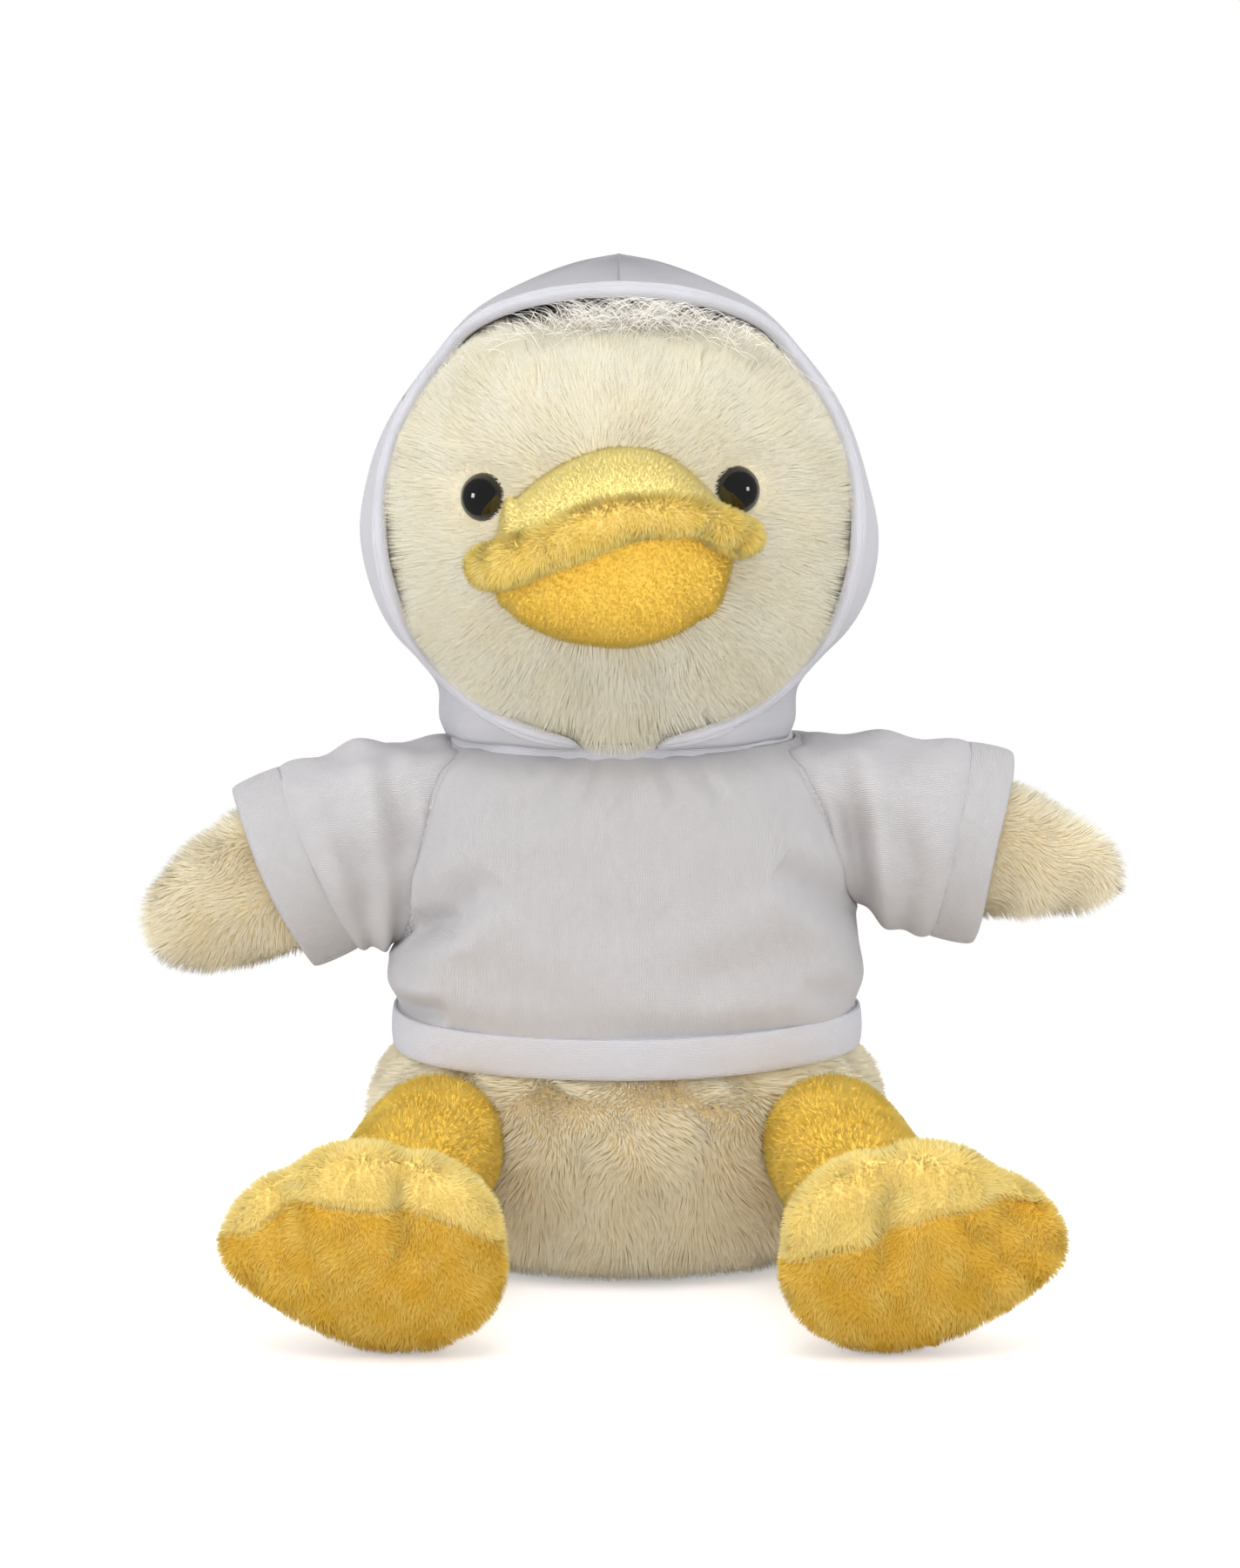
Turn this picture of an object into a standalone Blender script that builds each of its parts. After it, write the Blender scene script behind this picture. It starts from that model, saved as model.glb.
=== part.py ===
"""A seated plush duck in a short-sleeved hooded jersey.

The duck is sewn from pile-fabric skins over fibre filling, with safety eyes on washers, a soft
two-part beak with a rolled lip, webbed feet of an upper and a sole, and a tail. The jersey has a
front, a back, two sleeves with cuffs, a hem band, a neck band and a two-piece hood with a band
round the face. Metres, +Z up, the duck looks along -Y, and the origin is on its seat.
"""
import math

import bmesh
import bpy
from mathutils import Matrix, Vector

for old in list(bpy.data.objects):
    bpy.data.objects.remove(old)

# Cloth walls and clearances
FIT_GAP = 0.0003
FILL_GAP = 0.0006
PLUSH_WALL = 0.0022
JERSEY_WALL = 0.0010
BAND_WALL = 0.0021
SEAT_CUT = 0.0005
CUTTER_REACH = 0.150

# Head
HEAD_WIDTH = 0.093
HEAD_DEPTH = 0.085
HEAD_HEIGHT = 0.090
HEAD_MIDDLE = 0.145
HEAD_ASIDE = -0.0016
HEAD_FORWARD = 0.002
HEAD_TIP = 0.0024
NECK_LEVEL = 0.103
HEAD_LIMIT_SHARE = 0.965

# Safety eyes and their washers
EYE_RADIUS = 0.0046
EYE_DOME = 0.0034
EYE_SPREAD = 0.0243
EYE_LEVEL = 0.15225
EYE_ASIDE = -0.0017
EYE_TILT = 0.00075
EYE_SEAT_DEPTH = 0.0012
EYE_SEAT_MARGIN = 0.0005
SHANK_RADIUS = 0.0013
SHANK_RIB = 0.0003
SHANK_LENGTH = 0.0095
WASHER_RADIUS = 0.0052
WASHER_THICKNESS = 0.0010
WASHER_HUB_RADIUS = 0.0026
WASHER_HUB = 0.0016
WASHER_SET_BACK = 0.0012

# Beak
BEAK_LEVEL = 0.1455
BEAK_ASIDE = -0.0007
BEAK_ROLL = math.radians(4.5)
BEAK_ROOT = 0.034
BEAK_WIDTH = 0.0455
UPPER_BEAK_RISE = 0.0128
UPPER_BEAK_REACH = 0.036
LOWER_BEAK_DROP = 0.0265
LOWER_BEAK_REACH = 0.029
LIP_WIDTH = 0.0515
LIP_REACH = 0.0355
LIP_HEIGHT = 0.0078
LIP_THICKNESS = 0.0088
LIP_ARCH = 0.0120
LIP_LEVEL_SHARE = 0.62
LIP_CORNER_SHARE = 0.72
LIP_CORNER_POWER = 6
LIP_TURN = math.radians(80)
LIP_TIP = 0.0022

# Tuft of longer pile on the crown
TUFT_WIDTH = 0.036
TUFT_DEPTH = 0.0085
TUFT_LEVEL = 0.1780
TUFT_FORWARD = 0.0265
TUFT_RISE = 0.0036

# Body
BODY_WIDTH = 0.101
BODY_DEPTH_SHARE = 0.88
BODY_OUTLINE_SHARES = (
    (0.000, 0.600), (0.035, 0.790), (0.095, 0.915), (0.180, 0.980), (0.270, 1.000), (0.330, 0.955),
    (0.385, 0.865), (0.500, 0.815), (0.680, 0.765), (0.850, 0.690), (0.945, 0.560), (1.000, 0.345))

# Wings
SHOULDER_OUT = 0.043
SHOULDER_LEVEL = 0.0855
LEFT_WING_DROOP = math.radians(12)
RIGHT_WING_DROOP = math.radians(24.5)
WING_ROOT = 0.014
WING_THICKNESS = 0.019
WING_LENGTH = 0.0565
WING_BEND = 0.0035
WING_TIP = 0.0016
WING_OUTLINE_SHARES = (
    (0.00, 1.00, 1.00), (0.14, 1.02, 1.02), (0.32, 1.09, 1.04), (0.52, 1.13, 1.02),
    (0.70, 1.07, 0.92), (0.84, 0.90, 0.76), (0.935, 0.62, 0.56), (0.975, 0.40, 0.38))

# Legs
HIP_LEVEL = 0.0285
HIP_FORWARD = 0.036
LEFT_HIP_OUT = 0.0385
RIGHT_HIP_OUT = 0.036
LEG_RADIUS = 0.0130
LEG_LENGTH = 0.060
LEG_DROP = 0.010
LEG_SPLAY = 0.013

# Webbed feet
FOOT_WIDTH = 0.052
FOOT_HEIGHT = 0.0405
FOOT_SOLE_BULGE = 0.0085
FOOT_UPPER_BULGE = 0.0135
FOOT_LEAN = math.radians(24)
FOOT_TURN = math.radians(8)
FOOT_FORWARD = 0.0935
LEFT_FOOT_OUT = 0.0535
RIGHT_FOOT_OUT = 0.0480
FOOT_SEAM_WALL = 0.0012
FOOT_FILL_GAP = 0.0018
FOOT_TIP = 0.0008
FOOT_OUTLINE_SHARES = (
    (0.93, 0.06), (0.90, 0.40), (0.72, 0.72), (0.40, 0.94), (0.02, 1.00), (-0.34, 0.92),
    (-0.66, 0.66), (-0.98, 0.30), (-1.07, -0.06), (-0.86, -0.40), (-0.42, -0.78), (0.04, -0.99),
    (0.42, -0.94), (0.74, -0.70), (0.91, -0.34))
FOOT_RING_SHARES = ((0.90, 0.60), (0.66, 0.90), (0.34, 1.00))

# Tail
TAIL_LEVEL = 0.024
TAIL_BACK = 0.036
TAIL_LENGTH = 0.022
TAIL_WIDTH = 0.022
TAIL_THICKNESS = 0.013
TAIL_TIP = 0.0015
TAIL_RISE = math.radians(25)
TAIL_SHARES = ((0.00, 1.0), (0.45, 0.92), (0.75, 0.66), (0.93, 0.34))

# Jersey
JERSEY_WIDTH = 0.0915
JERSEY_DEPTH_SHARE = 0.905
JERSEY_BOTTOM = 0.0410
JERSEY_NECKLINE = 0.1000
HEM_HEIGHT = 0.0078
HEM_PROUD = 0.0008
JERSEY_OUTLINE_SHARES = (
    (0.000, 1.000), (0.132, 0.995), (0.300, 1.000), (0.460, 0.980), (0.620, 0.968),
    (0.780, 0.958), (0.900, 0.930), (0.965, 0.875), (1.000, 0.748))
FOLD_DEPTH = 0.0011
FOLD_COUNT = 3
FOLD_REACH = 0.040

# Sleeves and cuffs
SLEEVE_HEIGHT = 0.0366
SLEEVE_DEPTH = 0.0290
SLEEVE_ROOT_HEIGHT = 0.0355
SLEEVE_START = 0.005
ARMHOLE_START = 0.018
SLEEVE_END = 0.0205
CUFF_WIDTH = 0.0085
CUFF_PROUD = 0.0006
CUFF_HEIGHT = 0.0372
CUFF_DEPTH = 0.0268

# Neck band
NECK_BAND_TOP = 0.1040
NECK_BAND_WIDTH = 0.0694
NECK_BAND_DEPTH = 0.0670

# Hood
HOOD_WIDTH = 0.101
HOOD_DEPTH_SHARE = 0.98
HOOD_TOP = 0.1955
HOOD_TIP = 0.0020
HOOD_BACK = 0.0005
HOOD_OUTLINE_SHARES = (
    (0.000, 0.677), (0.085, 0.691), (0.140, 0.772), (0.205, 0.877), (0.300, 0.964), (0.405, 1.000),
    (0.525, 0.962), (0.665, 0.862), (0.785, 0.703), (0.875, 0.553), (0.940, 0.350), (0.978, 0.170))
OPENING_WIDTH = 0.0925
OPENING_TOP = 0.1862
OPENING_BOTTOM = 0.1070
OPENING_BACK = 0.012
OPENING_SWELL_SHARE = 0.035
FACE_BAND_WIDTH = 0.0040
FACE_BAND_WALL = 0.0026

SIDES = {"left": 1, "right": -1}
WING_DROOPS = {"left": LEFT_WING_DROOP, "right": RIGHT_WING_DROOP}
HIPS_OUT = {"left": LEFT_HIP_OUT, "right": RIGHT_HIP_OUT}
FEET_OUT = {"left": LEFT_FOOT_OUT, "right": RIGHT_FOOT_OUT}


def material(name, colour, roughness, metallic=0.0):
    """A Principled material in the colour given as linear red, green and blue."""
    made = bpy.data.materials.new(name)
    made.use_nodes = True
    shader = made.node_tree.nodes["Principled BSDF"]
    shader.inputs["Base Color"].default_value = (*colour, 1.0)
    shader.inputs["Roughness"].default_value = roughness
    shader.inputs["Metallic"].default_value = metallic
    return made


CREAM_PILE = material("cream_pile", (0.84, 0.76, 0.54), 0.95)
YELLOW_PILE = material("yellow_pile", (0.90, 0.60, 0.10), 0.95)
SOLE_PILE = material("sole_pile", (0.78, 0.48, 0.07), 0.95)
WHITE_KNIT = material("white_knit", (0.80, 0.79, 0.84), 0.9)
FIBRE = material("fibre_filling", (0.88, 0.88, 0.86), 1.0)
EYE_PLASTIC = material("eye_plastic", (0.008, 0.008, 0.009), 0.12)
WASHER_PLASTIC = material("washer_plastic", (0.70, 0.70, 0.68), 0.45)


def add_object(name, bm, finish=None):
    """The object that holds a finished bmesh, shaded smooth."""
    mesh = bpy.data.meshes.new(name)
    bm.to_mesh(mesh)
    bm.free()
    mesh.shade_smooth()
    made = bpy.data.objects.new(name, mesh)
    bpy.context.scene.collection.objects.link(made)
    if finish:
        mesh.materials.append(finish)
    return made


def as_cutter(made):
    """Marks an object as a guide that only cuts others."""
    made.hide_render = True
    made.display_type = "WIRE"
    return made


def boolean(target, tool, operation="DIFFERENCE"):
    """Cuts, or keeps what is shared with, the target by the tool."""
    step = target.modifiers.new(f"{operation.lower()}_{tool.name}", "BOOLEAN")
    step.operation = operation
    step.object = tool
    step.solver = "EXACT"


def give_wall(target, wall):
    """Gives an open skin its cloth wall, inwards from the surface."""
    step = target.modifiers.new("wall", "SOLIDIFY")
    step.thickness = wall
    step.offset = -1.0
    step.use_even_offset = True
    step.use_rim = True


def smooth_between(stops, place):
    """The values at a place on a smooth curve through the stops, which start with their places."""
    last = len(stops) - 1
    i = min(max(sum(stop[0] <= place for stop in stops) - 1, 0), last - 1)
    low, high = stops[i], stops[i + 1]
    before, after = stops[max(i - 1, 0)], stops[min(i + 2, last)]
    width = high[0] - low[0]
    t = (place - low[0]) / width
    found = []
    for k in range(1, len(low)):
        start = (high[k] - before[k]) / (high[0] - before[0]) * width
        end = (after[k] - low[k]) / (after[0] - low[0]) * width
        found.append(
            (2 * t ** 3 - 3 * t ** 2 + 1) * low[k] + (t ** 3 - 2 * t ** 2 + t) * start
            + (3 * t ** 2 - 2 * t ** 3) * high[k] + (t ** 3 - t ** 2) * end)
    return found


def rings_along(stations, place, inset=0.0):
    """Places of a form's elliptical rings: each station is along, half across, half thick."""
    rings = []
    for i, (along, across, thick) in enumerate(stations):
        before, after = stations[max(i - 1, 0)], stations[min(i + 1, len(stations) - 1)]
        rise, spread = after[0] - before[0], after[1] - before[1]
        outward, forward = rise / math.hypot(rise, spread), -spread / math.hypot(rise, spread)
        ring = Matrix.Diagonal((across - inset * outward, thick - inset * outward, 1.0, 1.0))
        rings.append(place @ Matrix.Translation((0, 0, along - inset * forward)) @ ring)
    return rings


def loft(name, rings, segments, start_tip, end_tip, finish=None):
    """A form bridged over rings. An end has a dome of its tip's height, or is open at None."""
    bm = bmesh.new()
    loops = []
    for ring in rings:
        made = bmesh.ops.create_circle(bm, segments=segments, radius=1.0, matrix=ring)["verts"]
        loops.append(list({edge for vertex in made for edge in vertex.link_edges}))
    for low, high in zip(loops, loops[1:]):
        bmesh.ops.bridge_loops(bm, edges=low + high)
    caps = [bmesh.ops.contextual_create(bm, geom=loop)["faces"][0] for loop in (loops[0], loops[-1])]
    bmesh.ops.recalc_face_normals(bm, faces=bm.faces)
    for cap, tip in zip(caps, (start_tip, end_tip)):
        if tip is None:
            bmesh.ops.delete(bm, geom=[cap], context="FACES_ONLY")
        elif tip:
            bmesh.ops.poke(bm, faces=[cap], offset=tip)
    return add_object(name, bm, finish)


def ellipsoid(name, place, halves, segments, rings, finish=None):
    """An ellipsoid of three half sizes at a place."""
    bm = bmesh.new()
    size = Matrix.Diagonal((*halves, 1.0))
    bmesh.ops.create_uvsphere(
        bm, u_segments=segments, v_segments=rings, radius=1.0, matrix=place @ size)
    return add_object(name, bm, finish)


def turned(name, profile, steps, place, finish=None):
    """A profile of radius and height spun round the place's own z axis, closed at both ends."""
    bm = bmesh.new()
    points = [bm.verts.new((radius, 0, height)) for radius, height in profile]
    edges = [bm.edges.new(pair) for pair in zip(points, points[1:])]
    bmesh.ops.spin(
        bm, geom=points + edges, cent=(0, 0, 0), axis=(0, 0, 1), angle=2 * math.pi,
        steps=steps, use_merge=True)
    bmesh.ops.remove_doubles(bm, verts=bm.verts, dist=FIT_GAP / 10)
    bmesh.ops.recalc_face_normals(bm, faces=bm.faces)
    bmesh.ops.transform(bm, matrix=place, verts=bm.verts)
    return add_object(name, bm, finish)


def block(name, low, high, place=Matrix()):
    """A box between two corners, as a cutter."""
    bm = bmesh.new()
    size = [b - a for a, b in zip(low, high)]
    middle = [(a + b) / 2 for a, b in zip(low, high)]
    bmesh.ops.create_cube(
        bm, size=1.0, matrix=place @ Matrix.Translation(middle) @ Matrix.Diagonal((*size, 1.0)))
    return as_cutter(add_object(name, bm))


def frame_along(origin, direction, across):
    """A place whose z runs along the direction and whose x lies nearest to across."""
    z = Vector(direction).normalized()
    x = (Vector(across) - z * Vector(across).dot(z)).normalized()
    y = z.cross(x)
    turn = Matrix((x, y, z)).transposed().to_4x4()
    return Matrix.Translation(origin) @ turn


# Head: an oval skin, open at the neck seam, over one lump of filling
HEAD_SEGMENTS = 22
HEAD_RINGS = 10
HEAD_PLACE = Matrix.Translation((HEAD_ASIDE, -HEAD_FORWARD, 0))


def head_stations(rings):
    """The head's oval from the neck seam to just under the crown."""
    low = math.asin((NECK_LEVEL + FIT_GAP - HEAD_MIDDLE) / (HEAD_HEIGHT / 2))
    high = math.asin(HEAD_LIMIT_SHARE)
    stations = []
    for i in range(rings):
        angle = low + (high - low) * i / (rings - 1)
        level = HEAD_MIDDLE + HEAD_HEIGHT / 2 * math.sin(angle)
        across, thick = HEAD_WIDTH / 2 * math.cos(angle), HEAD_DEPTH / 2 * math.cos(angle)
        stations.append((level, across, thick))
    return stations


def head_form(name, inset, start_tip, finish=None):
    rings = rings_along(head_stations(HEAD_RINGS), HEAD_PLACE, inset)
    return loft(name, rings, HEAD_SEGMENTS, start_tip, HEAD_TIP, finish)


def face_point(aside, level):
    """The point of the head's surface seen from the front, and the surface's direction there."""
    x = aside - HEAD_ASIDE
    z = level - HEAD_MIDDLE
    halves = (HEAD_WIDTH / 2, HEAD_DEPTH / 2, HEAD_HEIGHT / 2)
    depth = halves[1] * math.sqrt(1 - (x / halves[0]) ** 2 - (z / halves[2]) ** 2)
    normal = Vector((x / halves[0] ** 2, -depth / halves[1] ** 2, z / halves[2] ** 2)).normalized()
    return Vector((aside, -HEAD_FORWARD - depth, level)), normal


head_skin = head_form("head_skin", 0.0, None, CREAM_PILE)
give_wall(head_skin, PLUSH_WALL)
head_filling = head_form("head_filling", PLUSH_WALL + FILL_GAP, 0.0, FIBRE)
neck_trim = block(
    "neck_trim", (-CUTTER_REACH, -CUTTER_REACH, -CUTTER_REACH),
    (CUTTER_REACH, CUTTER_REACH, NECK_LEVEL + FIT_GAP))
for piece in (head_skin, head_filling):
    boolean(piece, neck_trim)
head_room = as_cutter(head_form("head_room", -FIT_GAP, 0.0))

# Safety eyes: a domed button whose ribbed shank goes through the skin into a washer
EYE_STEPS = 12
EYE_ARCS = 3
RIB_COUNT = 2


def eye_profile():
    dome = []
    for i in range(EYE_ARCS + 1):
        angle = math.pi / 2 * i / EYE_ARCS
        dome.append((EYE_RADIUS * math.sin(angle), EYE_DOME * math.cos(angle)))
    shank = [(SHANK_RADIUS, 0)]
    pitch = SHANK_LENGTH / (RIB_COUNT + 1)
    for i in range(1, RIB_COUNT + 1):
        shank.append((SHANK_RADIUS, -pitch * i))
        shank.append((SHANK_RADIUS + SHANK_RIB, -pitch * i - SHANK_RIB))
        shank.append((SHANK_RADIUS, -pitch * i - 2 * SHANK_RIB))
    shank.append((0, -SHANK_LENGTH))
    return dome + shank


def washer_profile():
    bore = SHANK_RADIUS + SHANK_RIB + FIT_GAP
    return [
        (bore, 0), (WASHER_RADIUS, 0), (WASHER_RADIUS, -WASHER_THICKNESS),
        (WASHER_HUB_RADIUS, -WASHER_THICKNESS), (WASHER_HUB_RADIUS, -WASHER_HUB),
        (bore, -WASHER_HUB), (bore, 0)]


eye_seats = []
for side, sign in SIDES.items():
    point, normal = face_point(HEAD_ASIDE + EYE_ASIDE + sign * EYE_SPREAD, EYE_LEVEL + sign * EYE_TILT)
    seat = frame_along(point - normal * EYE_SEAT_DEPTH, normal, (1, 0, 0))
    eye_place = seat @ Matrix.Translation((0, 0, FIT_GAP))
    turned(f"{side}_eye", eye_profile(), EYE_STEPS, eye_place, EYE_PLASTIC)
    behind = PLUSH_WALL - EYE_SEAT_DEPTH + WASHER_SET_BACK
    turned(
        f"{side}_eye_washer", washer_profile(), EYE_STEPS,
        seat @ Matrix.Translation((0, 0, -behind)), WASHER_PLASTIC)
    hole = SHANK_RADIUS + SHANK_RIB + FIT_GAP
    margin = EYE_RADIUS + EYE_SEAT_MARGIN
    seat_cut = as_cutter(turned(
        f"{side}_eye_seat_cut",
        [(0, EYE_DOME), (margin, EYE_DOME), (margin, 0), (hole, 0), (hole, -SHANK_LENGTH),
         (0, -SHANK_LENGTH)],
        EYE_STEPS, seat))
    boolean(head_skin, seat_cut)
    eye_seats.append(seat_cut)
    pocket = WASHER_RADIUS + FIT_GAP
    depth = SHANK_LENGTH + FIT_GAP
    pocket_cut = as_cutter(turned(
        f"{side}_eye_pocket_cut", [(0, EYE_DOME), (pocket, EYE_DOME), (pocket, -depth), (0, -depth)],
        EYE_STEPS, seat))
    boolean(head_filling, pocket_cut)

# Beak: an upper dome and a lower cup with a rolled lip between them, sewn on the face
BEAK_SEGMENTS = 20
BEAK_RINGS = 10
LIP_RINGS = 11
LIP_SEGMENTS = 8
BEAK_PLACE = (
    Matrix.Translation((HEAD_ASIDE + BEAK_ASIDE, -HEAD_FORWARD - BEAK_ROOT, BEAK_LEVEL))
    @ Matrix.Rotation(-BEAK_ROLL, 4, "Y"))


def lip_rings(grow):
    """The rolled lip's rings round the beak's front, drawn in at both corners."""
    rings = []
    for i in range(LIP_RINGS):
        turn = LIP_TURN * (2 * i / (LIP_RINGS - 1) - 1)
        arch = LIP_ARCH * (math.cos(turn) - LIP_LEVEL_SHARE)
        middle = (LIP_WIDTH / 2 * math.sin(turn), -LIP_REACH * math.cos(turn), arch)
        along = (LIP_WIDTH / 2 * math.cos(turn), LIP_REACH * math.sin(turn), -LIP_ARCH * math.sin(turn))
        fullness = math.sqrt(1 - LIP_CORNER_SHARE * abs(turn / LIP_TURN) ** LIP_CORNER_POWER)
        half_height = LIP_HEIGHT / 2 * fullness + grow
        half_thick = LIP_THICKNESS / 2 * fullness + grow
        ring = Matrix.Diagonal((half_height, half_thick, 1.0, 1.0))
        rings.append(BEAK_PLACE @ frame_along(middle, along, (0, 0, 1)) @ ring)
    return rings


def beak_half(name, rise, reach):
    """Half an ellipsoid above the mouth, or below it for a negative rise, arched like the lip."""
    bm = bmesh.new()
    bmesh.ops.create_uvsphere(bm, u_segments=BEAK_SEGMENTS, v_segments=BEAK_RINGS, radius=1.0)
    bmesh.ops.bisect_plane(
        bm, geom=bm.verts[:] + bm.edges[:] + bm.faces[:], plane_co=(0, 0, 0), plane_no=(0, 0, 1),
        clear_inner=True)
    rim = [edge for edge in bm.edges if edge.is_boundary]
    bmesh.ops.contextual_create(bm, geom=rim)
    edge_points = sorted({vertex for edge in rim for vertex in edge.verts}, key=lambda v: v.co.x)
    for pair in zip(edge_points[1:-1:2], edge_points[2:-1:2]):
        bmesh.ops.connect_vert_pair(bm, verts=list(pair))
    gap = math.copysign(FIT_GAP / 2, rise)
    for vertex in bm.verts:
        x = BEAK_WIDTH / 2 * vertex.co.x
        arch = LIP_ARCH * (math.sqrt(1 - (x / (LIP_WIDTH / 2)) ** 2) - LIP_LEVEL_SHARE)
        vertex.co = (x, reach * vertex.co.y, rise * vertex.co.z + arch + gap)
    bmesh.ops.recalc_face_normals(bm, faces=bm.faces)
    bmesh.ops.transform(bm, matrix=BEAK_PLACE, verts=bm.verts)
    return add_object(name, bm, YELLOW_PILE)


upper_beak = beak_half("upper_beak", UPPER_BEAK_RISE, UPPER_BEAK_REACH)
lower_beak = beak_half("lower_beak", -LOWER_BEAK_DROP, LOWER_BEAK_REACH)
beak_lip = loft("beak_lip", lip_rings(0.0), LIP_SEGMENTS, LIP_TIP, LIP_TIP, YELLOW_PILE)
lip_room = as_cutter(loft("lip_room", lip_rings(FIT_GAP), LIP_SEGMENTS, LIP_TIP, LIP_TIP))
for piece in (upper_beak, lower_beak):
    boolean(piece, lip_room)
for eye_seat in eye_seats:
    boolean(upper_beak, eye_seat)
for piece in (upper_beak, lower_beak, beak_lip):
    boolean(piece, head_room)

# Tuft of longer fibres on the crown
TUFT_SEGMENTS = 14
TUFT_RINGS = 6
tuft_place = frame_along(
    (HEAD_ASIDE, -HEAD_FORWARD - TUFT_FORWARD, TUFT_LEVEL), (0, -TUFT_FORWARD, TUFT_LEVEL - HEAD_MIDDLE),
    (1, 0, 0))
hair_tuft = ellipsoid(
    "hair_tuft", tuft_place, (TUFT_WIDTH / 2, TUFT_DEPTH / 2, TUFT_RISE), TUFT_SEGMENTS,
    TUFT_RINGS, CREAM_PILE)
boolean(hair_tuft, head_room)

# Body: a pear-shaped skin on a flat seat, open at the neck seam, over its filling
BODY_SEGMENTS = 22


def body_form(name, inset, end_tip, finish=None):
    stations = []
    for share, fullness in BODY_OUTLINE_SHARES:
        half = BODY_WIDTH / 2 * fullness
        stations.append((-SEAT_CUT + (NECK_LEVEL + SEAT_CUT) * share, half, half * BODY_DEPTH_SHARE))
    return loft(name, rings_along(stations, Matrix(), inset), BODY_SEGMENTS, 0.0, end_tip, finish)


body_skin = body_form("body_skin", 0.0, None, CREAM_PILE)
give_wall(body_skin, PLUSH_WALL)
body_filling = body_form("body_filling", PLUSH_WALL + FILL_GAP, 0.0, FIBRE)
under_seat = block(
    "under_seat", (-CUTTER_REACH, -CUTTER_REACH, -CUTTER_REACH), (CUTTER_REACH, CUTTER_REACH, 0))
boolean(body_skin, under_seat)
body_room = as_cutter(body_form("body_room", -FIT_GAP, 0.0))

# Wings: flat tapered mitts whose rounded roots turn in hollows of the body
WING_SEGMENTS = 14
WING_RINGS = 7
ROOT_RINGS = 3
HOLLOW_SEGMENTS = 20
HOLLOW_RINGS = 10
ROOT_START_SHARE = 0.25


def wing_place(side):
    """The shoulder, with z along the wing, x up across its width and y through its thickness."""
    sign, droop = SIDES[side], WING_DROOPS[side]
    direction = (sign * math.cos(droop), 0, -math.sin(droop))
    return frame_along((sign * SHOULDER_OUT, 0, SHOULDER_LEVEL), direction, (0, 0, 1))


def wing_stations():
    stations = []
    for i in range(ROOT_RINGS):
        angle = math.pi / 2 * (ROOT_START_SHARE + (1 - ROOT_START_SHARE) * i / ROOT_RINGS)
        stations.append((
            -WING_ROOT * math.cos(angle), WING_ROOT * math.sin(angle),
            WING_THICKNESS / 2 * math.sin(angle)))
    last = WING_OUTLINE_SHARES[-1][0]
    for i in range(WING_RINGS):
        share = last * math.sin(math.pi / 2 * i / (WING_RINGS - 1))
        across, thick = smooth_between(WING_OUTLINE_SHARES, share)
        stations.append((WING_LENGTH * share, WING_ROOT * across, WING_THICKNESS / 2 * thick))
    return stations


def bend_down(made, place):
    """Lets the wing's outer end droop in a soft curve."""
    back = place.inverted()
    for vertex in made.data.vertices:
        own = back @ vertex.co
        if own.z > 0:
            own.x -= WING_BEND * (own.z / WING_LENGTH) ** 2
            vertex.co = place @ own


def hollow(name, middle, halves):
    """A cutter whose flats, not its corners, clear a root of these half sizes."""
    flat = math.cos(math.pi / HOLLOW_SEGMENTS) * math.cos(math.pi / (2 * HOLLOW_RINGS))
    grown = [(half + FIT_GAP) / flat for half in halves]
    return as_cutter(ellipsoid(
        name, Matrix.Translation(middle), grown, HOLLOW_SEGMENTS, HOLLOW_RINGS))


wings = {}
for side in SIDES:
    place = wing_place(side)
    skin = loft(
        f"{side}_wing_skin", rings_along(wing_stations(), place), WING_SEGMENTS, None, WING_TIP,
        CREAM_PILE)
    give_wall(skin, PLUSH_WALL)
    filling = loft(
        f"{side}_wing_filling", rings_along(wing_stations(), place, PLUSH_WALL + FILL_GAP),
        WING_SEGMENTS, 0.0, 0.0, FIBRE)
    wings[side] = (skin, filling)
    bend_down(skin, place)
    bend_down(filling, place)
    wing_room = hollow(
        f"{side}_wing_room", (SIDES[side] * SHOULDER_OUT, 0, SHOULDER_LEVEL),
        (WING_ROOT, WING_THICKNESS / 2, WING_ROOT))
    for piece in (body_skin, body_filling):
        boolean(piece, wing_room)

# Legs: round stumps whose ball-shaped roots turn in hollows of the body
LEG_SEGMENTS = 12
LEG_ROOT_RINGS = 3
LEG_RINGS = 3


def hip(side):
    return Vector((SIDES[side] * HIPS_OUT[side], -HIP_FORWARD, HIP_LEVEL))


def leg_place(side):
    direction = (SIDES[side] * LEG_SPLAY, -LEG_LENGTH, -LEG_DROP)
    return frame_along(hip(side), direction, (1, 0, 0))


def leg_stations():
    stations = []
    for i in range(LEG_ROOT_RINGS):
        angle = math.pi / 2 * (ROOT_START_SHARE + (1 - ROOT_START_SHARE) * i / LEG_ROOT_RINGS)
        stations.append((-LEG_RADIUS * math.cos(angle), *[LEG_RADIUS * math.sin(angle)] * 2))
    for i in range(LEG_RINGS):
        stations.append((LEG_LENGTH * i / (LEG_RINGS - 1), LEG_RADIUS, LEG_RADIUS))
    return stations


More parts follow.
